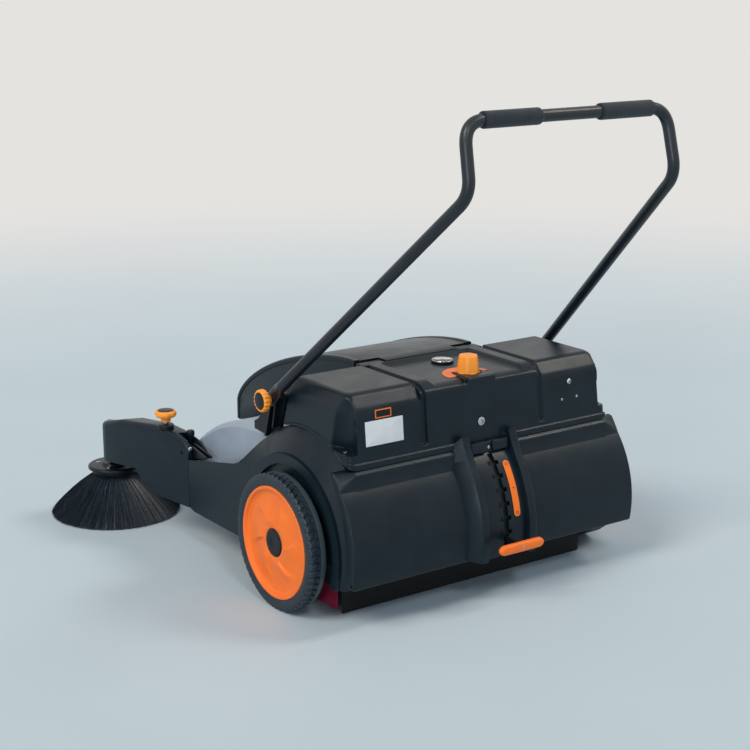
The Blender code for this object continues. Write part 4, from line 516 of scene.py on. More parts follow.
def moulded(name, colour, worn, grain_mm, bump, roughness, spread, mottle_mm=60.0, **values):
    """A moulded surface: fine grain in the bump, broad soft patches in colour and roughness."""
    tree, shader, place = new_finish(name, colour, values)
    grain = noise(tree, place, grain_mm, 3.0, 0.6)
    patch = noise(tree, place, mottle_mm, 4.0, 0.55)
    tint(tree, shader, patch, colour, worn, 0.35, 0.72)
    gloss = add(tree, "MapRange", {"From Min": 0.3, "From Max": 0.7, "To Min": roughness - spread,
                                   "To Max": roughness + spread}, {"Value": patch})
    relief = add(tree, "Bump", {"Strength": bump, "Distance": 0.0006}, {"Height": grain})
    tree.links.new(gloss.outputs["Result"], shader.inputs["Roughness"])
    tree.links.new(relief.outputs["Normal"], shader.inputs["Normal"])


class SWEEPER_PG_colours(bpy.types.PropertyGroup):
    """Colours that a user would change, as sRGB hex codes."""
    body: StringProperty(name="Body plastic", description="Colour of the large mouldings", default="#0b1a22")
    accent: StringProperty(name="Accent", description="Colour of the hubs and the lever", default="#f8762a")
    knob: StringProperty(name="Knobs", description="Colour of the turning knobs", default="#ff9a2c")
    hood: StringProperty(name="Brush hood", description="Colour of the brush hood", default="#8e9cab")
    flap: StringProperty(name="Side flap", description="Colour of the flexible side flaps", default="#8a1234")
    floor: StringProperty(name="Floor", description="Colour of the floor", default="#c2d4de")


class SWEEPER_PG_sizes(bpy.types.PropertyGroup):
    """Sizes and counts that a user would change."""
    tread_blocks: IntProperty(name="Tread blocks", description="Blocks round one tyre", default=56, min=8)
    tread_depth: FloatProperty(name="Tread depth", description="Depth of the tyre's grooves", default=0.0034,
                               unit="LENGTH")
    hub_petals: IntProperty(name="Hub petals", description="Swirled petals on one hub", default=6, min=3)
    petal_rise: FloatProperty(name="Petal rise", description="How far a petal stands out of the hub",
                              default=0.0062, unit="LENGTH")
    cone_strands: IntProperty(name="Cone strands", description="Filaments in one side brush", default=4200, min=50)
    roller_tufts: IntProperty(name="Roller tufts", description="Tufts along one row of the roller", default=58,
                              min=5)
    filament: FloatProperty(name="Filament", description="Half-thickness of a brush filament", default=0.00055,
                            unit="LENGTH")
    floor_radius: FloatProperty(name="Floor radius", description="Radius of the floor round the object",
                                default=40.0, unit="LENGTH")


class SWEEPER_OT_finishes(bpy.types.Operator):
    """Make every finish and paint the CAD nodes that stay in view."""
    bl_idname = "sweeper.finishes"
    bl_label = "Finishes"

    def execute(self, context):
        c = context.scene.sweeper_colours
        dull = {"Specular IOR Level": 0.24}
        # Polypropylene moulded in a spark-eroded tool: deep charcoal, finely grained, a soft wide sheen.
        # The grain is drawn three times as coarse as the real 0.4 mm so that it shows.
        moulded(BODY, c.body, "#112029", 1.2, 0.16, 0.33, 0.05, **dull)
        # Glass-filled polyamide of the brackets: darker and a little smoother.
        moulded(BLACK, "#0b1218", "#10191f", 1.0, 0.15, 0.34, 0.05, **dull)
        # ABS hood, moulded in a polished tool: smooth cool grey with a clear soft highlight.
        moulded(GREY, c.hood, "#98a5b3", 2.0, 0.04, 0.36, 0.05)
        # Polypropylene coloured in the mass: bright orange, satin, slight flow marks.
        moulded(ORANGE, c.accent, "#fc7f30", 1.4, 0.06, 0.36, 0.05, 40.0, **dull)
        # Polyamide of the turning knobs: a yellower orange, with a slightly stronger shine.
        moulded(AMBER, c.knob, "#ffa034", 1.0, 0.08, 0.38, 0.05, 20.0)
        # Carbon-filled rubber of the tyres: dull blue-black, with a painted sheen as a lighter grey ring on the inner
        # shoulder.
        moulded(TYRE, "#12202a", "#1d303d", 1.6, 0.3, 0.48, 0.08, 18.0, **{"Specular IOR Level": 0.45})
        self.shoulder_painted_sheen()
        # Extruded rubber of the seals: matt black, hardly any highlight.
        moulded(SEAL, "#0f1113", "#17191b", 1.5, 0.25, 0.66, 0.06, 25.0, **dull)
        # Urethane sheet of the flaps: dark red, evenly satin.
        moulded(FLAP, c.flap, "#9c1d40", 1.2, 0.1, 0.42, 0.06, 30.0)
        # Powder coat over steel tube: blue-black, shallow orange peel, a narrow even highlight.
        moulded(TUBE, "#0c161d", "#101c24", 2.6, 0.07, 0.34, 0.04, 80.0)
        # Zinc-plated steel: bright and slightly clouded.
        moulded(ZINC, "#b9bdc0", "#a6abaf", 1.8, 0.05, 0.3, 0.07, 12.0, Metallic=1.0)
        # Cast polyamide of the gears and pulleys: ivory, faintly glossy.
        moulded(CAST, "#d8d2bf", "#cbc4ae", 1.2, 0.08, 0.42, 0.05, 15.0)
        # Polyester film of the blank plate: pale and smooth.
        moulded(FILM, "#dde1e3", "#d4d9dc", 1.0, 0.02, 0.35, 0.05, 30.0)
        # The gauge: polished chrome, enamelled white, printed black and clear acrylic.
        moulded(CHROME, "#d7dadb", "#cfd2d4", 3.0, 0.02, 0.1, 0.03, 10.0, Metallic=1.0)
        moulded(ENAMEL, "#e9ebea", "#e2e5e4", 1.5, 0.02, 0.35, 0.04, 10.0)
        moulded(INK, "#1a1c1e", "#202325", 1.5, 0.02, 0.5, 0.04, 10.0)
        new_finish(WINDOW, "#f4f7f8", {"Roughness": 0.03, "IOR": 1.49, "Transmission Weight": 1.0})
        self.foam()
        self.filament()
        paint(BLACK, "brush_lever", "dirt_ramp", "roller_core")
        paint(ZINC, "stub_axle_left", "stub_axle_right", "layshaft", "swing_arm_left", "swing_arm_right",
              "lever_pin", "cross_tube", "castor_fork")
        paint(TUBE, "front_bar", "seal_clamp")
        paint(CAST, "ring_gear", "pinion", "layshaft_pulley", "roller_pulley")
        paint(SEAL, "drive_belt", "castor_wheel")
        return {"FINISHED"}

    def shoulder_painted_sheen(self):
        # Painted sheen: the tyre's inner shoulder is the same rubber, drawn lighter grey in a narrow ring that stands
        # in for its sheen.
        tree = bpy.data.materials[TYRE].node_tree
        base = tree.nodes["Principled BSDF"].inputs["Base Color"]
        place = add(tree, "TexCoord").outputs["Object"]
        axes = add(tree, "SeparateXYZ", None, {"Vector": place})
        across = add(tree, "Math", None, {0: axes.outputs["X"]}, operation="ABSOLUTE")
        ring = add(tree, "MapRange", {"From Min": WHEEL[0] - 0.004, "From Max": WHEEL[0] - 0.006},
                   {"Value": across.outputs[0]}, interpolation_type="SMOOTHSTEP")
        # Painted sheen: the lighter grey is mixed into the rubber's colour over the shoulder ring.
        sheen_mix = add(tree, "Mix", {"B": linear("#414d54")}, {"Factor": ring.outputs["Result"]},
                   data_type="RGBA")
        tree.links.new(base.links[0].from_socket, sheen_mix.inputs["A"])
        tree.links.new(sheen_mix.outputs["Result"], base)

    def foam(self):
        # Closed-cell nitrile foam: matt blue-black skin with small open pores of about 0.8 mm.
        tree, shader, place = new_finish(FOAM, "#1a242b", {"Roughness": 0.9, "Sheen Weight": 0.25,
                                                           "Sheen Roughness": 0.5, "Specular IOR Level": 0.3})
        tint(tree, shader, noise(tree, place, 22.0, 5.0), "#151d23", "#24303a")
        pores = add(tree, "TexVoronoi", {"Scale": 1000.0 / 1.1}, {"Vector": place})
        relief = add(tree, "Bump", {"Strength": 0.5, "Distance": 0.0008},
                     {"Height": pores.outputs["Distance"]})
        tree.links.new(relief.outputs["Normal"], shader.inputs["Normal"])

    def filament(self):
        # Extruded polypropylene filament: near black, each strand a little lighter or darker, with a dull shine.
        tree, shader, place = new_finish(FILAMENT, "#12171c", {"Roughness": 0.42})
        tint(tree, shader, noise(tree, place, 4.0, 2.0), "#0a121a", "#3a4a58", 0.35, 0.75)


class SWEEPER_OT_wheels(bpy.types.Operator):
    """Tyres, hubs and hub caps of the two big wheels."""
    bl_idname = "sweeper.wheels"
    bl_label = "Wheels"

    def tyre(self, sizes):
        """Closed section carried round the axle; in the tread band the radius falls where a block's phase is low.

        The phase grows with the angle and bends twice across the band, which gives zigzag grooves.
        """
        tread, low, wide = 0.15, -0.0035, 0.019
        outer = [(0.1243, 0.0185), (0.129, 0.0203), (0.136, 0.0209), (0.142, 0.0206), (0.1465, 0.0194),
                 (0.1486, 0.0179), (0.1497, 0.0165)]
        band = [(tread, along) for along in np.linspace(low + wide, low, 22)]
        inner = [(tread, -0.0042), (0.1482, -0.0047), (0.148, -0.0056), (0.1499, -0.0062), (0.1496, -0.015),
                 (0.147, -0.019), (0.14, -0.0208), (0.133, -0.0208), (0.1243, -0.0185)]
        blocks = sizes.tread_blocks

        def ripple(angle, radius, along):
            share = np.clip((along - low) / wide, 0, 1)
            in_band = (along > low - 0.0001) & (radius > 0.146)
            pitch = angle * blocks / (2 * np.pi)
            bend = 0.3 * np.abs(((share * 2) % 2) - 1)
            cross = np.clip((np.abs((pitch + bend) % 1.0 - 0.5) - 0.33) / 0.05, 0, 1)
            wander = 0.5 + 0.1 * np.sign(pitch % 1.0 - 0.5)
            split = np.clip((0.055 - np.abs(share - wander)) / 0.02, 0, 1)
            return radius - sizes.tread_depth * np.maximum(cross, 0.75 * split) * in_band, along
        return turned(outer + band + inner, blocks * 14, 0, WHEEL, True, ripple)

    def hub(self, sizes):
        """Dished disc of revolution; petals add a saw-tooth of the swirled angle, faded at the cap and the rim."""
        face = [(0.0312, 0.011), (0.0316, 0.0168), (0.033, 0.0176), (0.038, 0.0178)]
        web_r = np.linspace(0.041, 0.108, 26)
        web = np.stack([web_r, 0.0173 - 0.0058 * np.sin((web_r - 0.041) / 0.067 * np.pi * 0.55)], -1)
        rim = eased([(0.108, 0.012), (0.1135, 0.014), (0.1165, 0.0198), (0.119, 0.0206), (0.1225, 0.0206),
                     (0.1238, 0.019), (0.1238, -0.019), (0.12, -0.0205), (0.117, -0.019)], 0.0012, 3)
        back = [(0.1168, 0.006), (0.06, 0.0045), (0.026, 0.0), (0.026, -0.0215), (0.013, -0.0215), (0.013, 0.009),
                (0.0312, 0.009)]

        def ripple(angle, radius, along):
            swirl = 0.55 * (radius - 0.035) / 0.08
            phase = ((angle - swirl) * sizes.hub_petals / (2 * np.pi)) % 1.0
            saw = np.where(phase < 0.9, (phase / 0.9) ** 1.6, (1 - phase) / 0.1)
            fade = step(radius, 0.036, 0.05) * (1 - step(radius, 0.066, 0.102)) * (along > 0.008)
            return radius, along + sizes.petal_rise * saw * fade
        return turned(np.vstack([face, web, rim, back]), 180, 0, WHEEL, True, ripple)

    def cap(self):
        """Turned disc with a sunk middle."""
        return lathe([(0.0, 0.0093), (0.0306, 0.0093), (0.0306, 0.017), (0.0285, 0.0186), (0.012, 0.0186),
                      (0.0112, 0.0176), (0.0, 0.0174)], 0.0008, 3, 72, WHEEL, 0)

    def execute(self, context):
        sizes = context.scene.sweeper_sizes
        for side, sign in SIDES:
            for name, part, finish, node, crease in (
                    ("tyre_tread", self.tyre(sizes), TYRE, "tyre", 35.0),
                    ("hub_disc", self.hub(sizes), ORANGE, "hub", 28.0),
                    ("hub_cap_disc", self.cap(), BLACK, "hub_cap", 35.0)):
                add_piece(f"{name}_{side}", both([part], sign), finish, f"wheel_{side}", [f"{node}_{side}"],
                          crease=crease)
        return {"FINISHED"}


class SWEEPER_OT_side_brushes(bpy.types.Operator):
    """Cone brushes: two-step disc with its screws, and the splayed filaments."""
    bl_idname = "sweeper.side_brushes"
    bl_label = "Side brushes"

    def around(self, radius, turn, height):
        """Points at a radius, an angle and a height round the brush's axis."""
        return np.stack([BRUSH[0] + radius * np.cos(turn), BRUSH[1] + radius * np.sin(turn), height], -1)

    def disc(self):
        """Turned profile: the hub, a plate of two steps and the stem into the arm."""
        return lathe([(0.0, 0.0992), (0.053, 0.0992), (0.056, 0.1085), (0.056, 0.111), (0.053, 0.1122),
                      (0.053, 0.1136), (0.0658, 0.1146), (0.0658, 0.1205), (0.061, 0.1238), (0.033, 0.1238),
                      (0.03, 0.129), (0.012, 0.1298), (0.012, 0.1665), (0.0, 0.1665)], 0.0016, 4, 96, (*BRUSH, 0))

    def screws(self):
        """Four screw heads on the plate, a quarter turn apart."""
        turn = np.arange(4) * np.pi / 2 + 0.78
        return [screw(at, (0, 0, 1), 0.0052, 0.0026) for at in self.around(0.0425, turn, np.full(4, 0.1238))]

    def cone(self, sizes, seed):
        """Strand feet lie in grouped tufts over the disc's ring; tips lie on the floor's ring, bowed on the way."""
        draw = np.random.default_rng(seed)
        n, tufts = sizes.cone_strands, 44
        depth = draw.random(n) ** 0.3
        angle = draw.random(n) * 2 * np.pi
        tuft = np.round(angle * tufts / (2 * np.pi)) * 2 * np.pi / tufts
        root_angle = tuft + (angle - tuft) * 0.55
        root_r = 0.036 + 0.0165 * depth + draw.normal(0, 0.0005, n)
        tip_r = np.minimum(0.134 + 0.027 * depth + draw.normal(0, 0.0012, n), 0.1618)
        tip_angle = tuft + (angle - tuft) * 0.8 + draw.normal(0, 0.018, n)
        tip_z = 0.0014 + 0.006 * draw.random(n) ** 2
        bow_r = root_r + (tip_r - root_r) * (0.44 + 0.03 * draw.random(n)) + 0.002
        bow_z = 0.0645 + 0.004 * depth + draw.normal(0, 0.0016, n)
        start = self.around(root_r, root_angle, np.full(n, 0.0995))
        middle = self.around(bow_r, (root_angle + tip_angle) / 2, bow_z)
        end = self.around(tip_r, tip_angle, tip_z)
        filler = turned([(0.034, 0.0985), (0.0505, 0.0985), (0.0745, 0.0818), (0.1125, 0.0475), (0.1565, 0.003),
                         (0.15, 0.0025), (0.1, 0.036), (0.052, 0.072)], 72, 2, (*BRUSH, 0), closed=True)
        return [strands(start, middle, end, sizes.filament, sizes.filament * 0.55), filler]

    def execute(self, context):
        sizes = context.scene.sweeper_sizes
        for seed, (side, sign) in enumerate(SIDES):
            body = f"side_brush_{side}"
            add_piece(f"brush_plate_{side}", both([self.disc()], sign), BLACK, body, [f"brush_disc_{side}"])
            add_piece(f"brush_screws_{side}", both(self.screws(), sign), ZINC, body)
            add_piece(f"brush_cone_{side}", both(self.cone(sizes, seed + 3), sign), FILAMENT, body,
                      [f"brush_bristles_{side}"], merge=1e-7)
        return {"FINISHED"}


class SWEEPER_OT_roller(bpy.types.Operator):
    """The roller's tufts, in rows that twist from both ends towards the middle."""
    bl_idname = "sweeper.roller"
    bl_label = "Roller brush"

    def around(self, radius, turn, across):
        """Points at a radius and an angle round the roller's axis."""
        return np.stack([across, ROLLER[0] + radius * np.cos(turn), ROLLER[1] + radius * np.sin(turn)], -1)

    def execute(self, context):
        draw = np.random.default_rng(11)
        half, rows, each = 0.29, 8, 9
        x = np.linspace(-0.284, 0.284, context.scene.sweeper_sizes.roller_tufts)
        turn = np.arange(rows)[:, None] * 2 * np.pi / rows + np.pi / rows + math.radians(50) * np.abs(x) / half
        turn = np.repeat(turn.ravel(), each)
        along = np.repeat(np.tile(x, rows), each)
        n = len(turn)
        root_x = along + draw.normal(0, 0.0012, n)
        tip_x = along + draw.normal(0, 0.0032, n)
        root_turn = turn + draw.normal(0, 0.012, n)
        tip_turn = turn + draw.normal(0, 0.022, n)
        tip_r = 0.127 + 0.0025 * draw.random(n)
        start = self.around(np.full(n, 0.058), root_turn, root_x)
        end = self.around(tip_r, tip_turn, tip_x)
        middle = self.around(np.full(n, 0.095), (root_turn + tip_turn) / 2, (root_x + tip_x) / 2)
        sleeve = lathe([(0.0405, -half), (0.06, -half), (0.06, half), (0.0405, half)], 0.002, 3, 64, (0, *ROLLER), 0,
                       closed=True)
        add_piece("roller_tufts", [strands(start, middle, end, 0.0009, 0.0007, 3, 3), sleeve], FILAMENT, "roller",
                  ["roller_bristles"], merge=1e-7)
        return {"FINISHED"}


class SWEEPER_OT_handle(bpy.types.Operator):
    """The bent tube, its foam grips, the brackets and the clamp knobs."""
    bl_idname = "sweeper.handle"
    bl_label = "Handle"

    def path(self):
        """Half the handle's centre line: straight legs whose corners are rounded by the real bend radii."""
        rise = unit(np.array([0.0, KINK[1] - PIVOT[1], KINK[2] - PIVOT[2]]))
        points = [PIVOT - rise * 0.016, PIVOT + rise * 0.027, PIVOT + rise * 0.034, KINK, CORNER,
                  CORNER * np.array([0.0, 1.0, 1.0])]
        path = eased(points, [0, 0.004, 0.006, 0.035, 0.048, 0], 14)
        path = path[np.r_[True, np.linalg.norm(np.diff(path, axis=0), axis=1) > 2e-4]]
        length = np.r_[0, np.cumsum(np.linalg.norm(np.diff(path, axis=0), axis=1))]
        even = np.unique(np.r_[np.arange(0, length[-1], 0.006), length])
        return np.stack([np.interp(even, length, path[:, k]) for k in range(3)], -1), even

    def tube(self):
        """A round section that is pressed flat towards its foot and ends there in a half circle."""
        path, length = self.path()
        radius, thin, broad, end = 0.0125, 0.004, 0.016, 0.016
        flat = 1 - step(length, 0.045, 0.075)
        wide = radius * (1 - flat) + thin * flat
        tall = radius * (1 - flat) + broad * flat
        round_end = np.sqrt(np.clip(1 - ((end - length) / (end + 0.0001)) ** 2, 0.03, 1))
        rings = tube(path, wide, np.where(length < end, tall * round_end, tall), 40)
        return mirrored([skin(rings, around=True), fan(rings[0])])

    def grip(self, sign):
        """A sleeve of revolution about the crossbar with full rounded ends and a shallow end ring."""
        profile = eased([(0.0128, 0.077), (0.015, 0.0772), (0.0168, 0.08), (0.0168, 0.147), (0.0168, 0.2125),
                         (0.0162, 0.2132), (0.0168, 0.214), (0.0166, 0.216), (0.015, 0.217), (0.0128, 0.217)],
                        [0, 0.001, 0.002, 0, 0.0004, 0.0004, 0.0004, 0.0012, 0.0012, 0], 4)
        profile = np.vstack([profile, profile[:1]])
        return [turned(profile * np.array([1.0, sign]), 64, 0, (0, *CORNER[1:]))]

    def knob(self):
        """Lobed ring, its radius dipping at sixteen flutes, with the sunk face's dark disc."""
        at = PIVOT + np.array([0.0043, 0, 0])

        def ripple(angle, radius, along):
            return radius - 0.0011 * np.clip(np.cos(angle * 16) * 1.6, -1, 1) * (radius > 0.0205), along
        ring = lathe([(0.0, 0.0), (0.0115, 0.0), (0.0125, 0.0055), (0.0195, 0.0085), (0.0238, 0.012),
                      (0.024, 0.0215), (0.0222, 0.0252), (0.0196, 0.0258), (0.0192, 0.0236), (0.0, 0.0236)],
                     0.0012, 3, 192, at, 0, ripple=ripple)
        face = lathe([(0.0, 0.0238), (0.0188, 0.0238), (0.0186, 0.0256), (0.0, 0.0262)], 0.0008, 3, 64, at, 0)
        return ring, face

    def execute(self, context):
        add_piece("handle_bent_tube", self.tube(), TUBE, "handle", ["handle_tube"], crease=60.0)
        ring, face = self.knob()
        for side, sign in SIDES:
            grip = add_piece(f"grip_sleeve_{side}", self.grip(sign), FOAM, "handle", [f"grip_{side}"])
            clamp = f"clamp_{side}"
            add_piece(f"clamp_wheel_{side}", both([ring], sign), AMBER, clamp, [f"clamp_knob_{side}"])
            add_piece(f"clamp_face_{side}", both([face], sign), BLACK, clamp)
            soften(f"handle_bracket_{side}", BLACK, 0.0008)
        return {"FINISHED"}


class SWEEPER_OT_mouldings(bpy.types.Operator):
    """The large mouldings: the upper cover as a field of distances, the container as swept surfaces."""
    bl_idname = "sweeper.mouldings"
    bl_label = "Large mouldings"

    def cover_field(self, points):
        """Distance field of the upper cover: soft-edged planes, less grooves, tray, scoops and wheel arch.

        Each wall is a plane through two measured points of its section; neighbours meet in a soft maximum.
        """
        x, y, z = np.abs(points[..., 0]), points[..., 1], points[..., 2]
        arch = np.hypot(y, z - AXLE_Z)
        crest_y, groove_x, groove_half, groove_deep = 0.131, 0.162, 0.0095, 0.006
        pad_half, pad_front, pad_rear, pad_z, pad_flare = 0.03, 0.089, 0.158, 0.4852, 0.134
        scoop_x, scoop_y, scoop_r, scoop_floor = 0.366, 0.149, 0.034, 0.3695
        tray = (1 - step(x, 0.114, 0.128)) * step(y, -0.054, -0.04)
        top = z - TOP_Z + (TOP_Z - TRAY_Z) * tray
        wall = -plane(y, z, *REAR_WALL)
        rear = np.where(x > groove_x, soft_max(-plane(y, z, (crest_y, TOP_Z), REAR_WALL[0]), wall, 0.006),
                        soft_max(-plane(y, z, (crest_y, TOP_Z), (0.159, 0.4715)), wall, 0.005))
        side = soft_max(-plane(x, z, (0.334, TOP_Z), (0.352, SHOULDER_Z)),
                        -plane(x, z, (0.352, SHOULDER_Z), (0.354, FOOT_Z)), 0.006)
        front = soft_max(plane(y, z, (-0.055, TOP_Z), (-0.066, SHOULDER_Z)),
                         plane(y, z, (-0.066, SHOULDER_Z), (-0.098, FOOT_Z)), 0.006)
        corner = soft_max(rear, side, 0.013)
        walls = soft_max(corner, front, 0.004)
        block = soft_max(soft_max(corner, top, 0.0075), front, 0.0025)
        block += groove_deep * step(groove_half - np.abs(x - groove_x), 0.0, 0.0022) * step(z, 0.359, 0.363)
        pad = soft_max(x - pad_half - pad_flare * (y - pad_front - 0.002), z - pad_z, 0.0015)
        pad = soft_max(soft_max(pad, y - pad_rear, 0.005), pad_front - y, 0.0015)
        block = soft_min(block, soft_max(pad, 0.0285 - np.hypot(x, y - KNOB[1]), 0.001), 0.0006)
        low = np.clip((0.45 - z) / 0.08, 0, 1)
        scoop = np.hypot(x - scoop_x + 0.003 * low, y - scoop_y + 0.013 * low) - scoop_r - 0.006 * low
        block = soft_max(block, -soft_max(scoop, scoop_floor - z, 0.0015), 0.0014)
        flange = soft_max(walls - 0.0034, np.minimum(z - FOOT_Z, arch - 0.2455), 0.0015)
        flange = soft_max(flange, np.minimum(0.055 - x, y), 0.0015)
        return np.maximum(soft_min(block, flange, 0.003), 0.24 - arch)

    def rear_cover(self):
        """Rays leave a level inner outline: level up the walls, turning over the shoulder, upright over the top.

        Columns run straight across where the grooves are, and fan round the four corners. Each wall starts
        at its lower edge, which follows the wheel arch and is found by steps from where the wall will lie.
        """
        half, front, rear, ridge, pivot_z = 0.3, -0.02, 0.098, 0.04, 0.44
        side_x, rear_y, front_y, lean, arch = 0.3575, 0.171, -0.066, 0.2963, 0.2404
        along = np.unique(np.round(np.concatenate([
            np.linspace(0, half, 54), np.arange(0.15, 0.1745, 0.0011), np.arange(0.112, 0.13, 0.002),
            np.arange(0.028, 0.041, 0.0008)]), 5))
        along = along[np.r_[True, np.diff(along) > 0.0007]]
        turn = np.linspace(0, np.pi / 2, 40)
        columns = [(x, front, 0.0, -1.0) for x in along]
        columns += [(half, front, math.cos(a), -math.sin(a)) for a in turn[::-1]]
        columns += [(half, y, 1.0, 0.0) for y in np.linspace(front, rear, 22)[1:-1]]
        columns += [(half, rear, math.sin(a), math.cos(a)) for a in turn[::-1]]
        columns += [(x, rear, 0.0, 1.0) for x in along[::-1]]
        columns += [(-x, y, -nx, ny) for x, y, nx, ny in columns[::-1] if x > 0]
        x, y, nx, ny = (column[:, None] for column in np.array(columns).T)
        bottom = np.where((np.abs(x) > 0.056) & (ny > 0.2), 0.3365, 0.3445)
        low = np.full_like(x, bottom)
        for _ in range(6):
            ahead_y = np.where(ny > 0, rear_y - y, y - front_y + (SHOULDER_Z - low) * lean)
            room = np.minimum((side_x - np.abs(x)) / np.maximum(np.abs(nx), 1e-3),
                              ahead_y / np.maximum(np.abs(ny), 1e-3))
            edge_y = y + 0.985 * ny * room
            low = np.maximum(bottom, AXLE_Z + np.sqrt(np.maximum(0, arch ** 2 - edge_y ** 2)) + 0.0002)
        share = np.concatenate([np.linspace(0, 0.3, 30), np.linspace(0.32, 0.44, 10),
                                np.linspace(0.47, 1, 18)[:-1]])
        wall_z = low + (pivot_z - low) * share
        lift = np.linspace(0, np.pi / 2, 40)[None]
        inward = np.linspace(0, 1, 20)[None, 1:]
        ridge_x = np.clip(x, -half + 0.06, half - 0.06)

        def rows(*parts):
            return np.stack(np.broadcast_arrays(*parts), -1)
        start = np.concatenate([rows(x, y, wall_z), rows(x, y, pivot_z + 0 * lift),
                                rows(x + (ridge_x - x) * inward, y + (ridge - y) * inward, pivot_z)], 1)
        ahead = np.concatenate([rows(nx, ny, 0 * wall_z), rows(nx * np.cos(lift), ny * np.cos(lift), np.sin(lift)),
                                rows(0 * x, 0.0, 1 + 0 * inward)], 1)
        points = cast(start, unit(ahead), self.cover_field, 0.12)
        add_piece("upper_cover_shell", [skin(points, along=True)], BODY, "chassis", ["rear_cover"], wall=0.0036,
                  crease=50.0, merge=2e-5, shell=True)

    def hinge_blocks(self):
        """Two blocks in front of the cover, each with the pin that the lid turns on."""
        parts = []
        for sign in (1, -1):
            parts += plate(rounded_box_outline(0.0315, 0.0095, 0.002, 3), -0.016, 0.016, 0.0015,
                           on_plane((sign * 0.1345, -0.065, 0.4792), (-1, 0, 0), (0, 0, 1)))
            pin = np.array([(0.0, 0.083), (0.0031, 0.083), (0.0031, 0.108), (0.0, 0.108)]) * (1, sign)
            parts.append(turned(pin, 24, 0, (0, -0.0558, 0.484)))
        add_piece("hinge_blocks", parts, BLACK, "chassis")

    def lining(self, points):
        """The container's solid drawn in behind the shell, its rim lowered to the shell's."""
        x, y, z = points.T
        radius = np.hypot(y, z - AXLE_Z)
        barrel = (radius > 0.2275) & (y > 0.05) & (z < 0.3)
        rim = (y > 0.155) & (z >= 0.3)
        share = np.where(barrel, (radius - 0.0085) / np.maximum(radius, 1e-6), 1.0)
        drawn_in = AXLE_Z + (z - AXLE_Z) * share + 0.001 * (z < 0.1015)
        return np.stack([x - np.sign(x) * 0.001 * (np.abs(x) > 0.379), y * share - 0.0165 * rim,
                         np.minimum(drawn_in, 0.335)], -1)

    def container(self):
        """The lined solid, then what shows: shell, ribs, notched panel, stops, a black sheet of painted shade behind
        the slot, and a screw.
        """
        soften("dust_container", BODY, 0.0012, move=self.lining)
        add_piece("container_shell", [self.shell()], BODY, "container", crease=50.0, shell=True)
        add_piece("container_ribs", mirrored(self.rib()), BODY, "container", crease=50.0)
        add_piece("container_panel", [self.panel()], BODY, "container", wall=0.002, crease=50.0, shell=True)
        stops = []
        for x, half_u, half_v, radius, height, edge in (
                (0.029, 0.021, 0.0105, 0.0012, 0.0125, 0.0012), (-0.029, 0.021, 0.0105, 0.0012, 0.0125, 0.0012),
                (0.0, 0.0545, 0.01, 0.001, 0.007, 0.001)):
            stops += plate(rounded_box_outline(half_u, half_v, radius, 3), 0.0, height, edge,
                           on_plane((x, 0.1765, 0.333), (-1, 0, 0), (0, -0.18, 0.98)))
        add_piece("container_stops", stops, BODY, "container")
        # Painted shade: a black rubber sheet behind the comb makes the deep slot read as dark.
        grid = np.zeros((2, 60, 3))
        grid[..., 0] = np.array([[-0.016], [0.016]])
        grid[..., 1:] = about_axle(0.244, np.radians(np.linspace(-5.6, 42.6, 60)))
        add_piece("gate_slot_painted_shade", [skin(grid)], SEAL, "container", wall=0.001, shell=True)
        add_piece("container_screw", [screw((0, 0.1838, 0.3318), (0, 0.98, 0.18), 0.0036, 0.0018)], ZINC,
                  "container")

    def shell(self):
        """A (Y, Z) outline carried along X: past the covers' corner it turns by even steps into a rounder one.

        The ends draw in by a quarter circle and close with a narrow level ring.
        """
        radius, shoulder, top = 0.235, math.radians(39.0), (0.1475, 0.336)
        foot = [(0.2085, 0.101), (0.225, 0.101), (0.2285, 0.1017), (0.23, 0.1032)]
        arc = about_axle(radius, np.linspace(-0.19, shoulder, 64))
        near = eased([arc[-1], (0.18, 0.329), (0.1715, top[1]), top], [0, 0.004, 0.002, 0], 8)
        wide = radius + 0.0065 * np.linspace(0, 1, 18)
        far = about_axle(wide, np.linspace(shoulder, math.radians(47.7), 19)[1:])
        far = np.vstack([far, [(0.158, 0.3345), top]])
        end, rounding = 0.3835, 0.0045
        turn = np.linspace(0, np.pi / 2, 6)
        x = np.concatenate([np.linspace(0, 0.345, 40), np.linspace(0.3465, end - 0.001, 20),
                            end + rounding * np.sin(turn), [end + rounding]])
        inset = np.concatenate([np.zeros(60), rounding * (1 - np.cos(turn)), [0.012]])
        x, inset = np.concatenate([-x[:0:-1], x]), np.concatenate([inset[:0:-1], inset])
        share = np.clip((np.abs(x) - 0.347) / 0.038, 0, 1)[:, None, None]
        line = np.concatenate([np.broadcast_to(np.vstack([foot, arc]), (len(x), 68, 2)),
                               near[None] * (1 - share) + far[None] * share], 1)
        points = line - normals(line) * inset[:, None, None]
        return skin(np.concatenate([np.broadcast_to(x[:, None, None], points.shape[:2] + (1,)), points], -1))

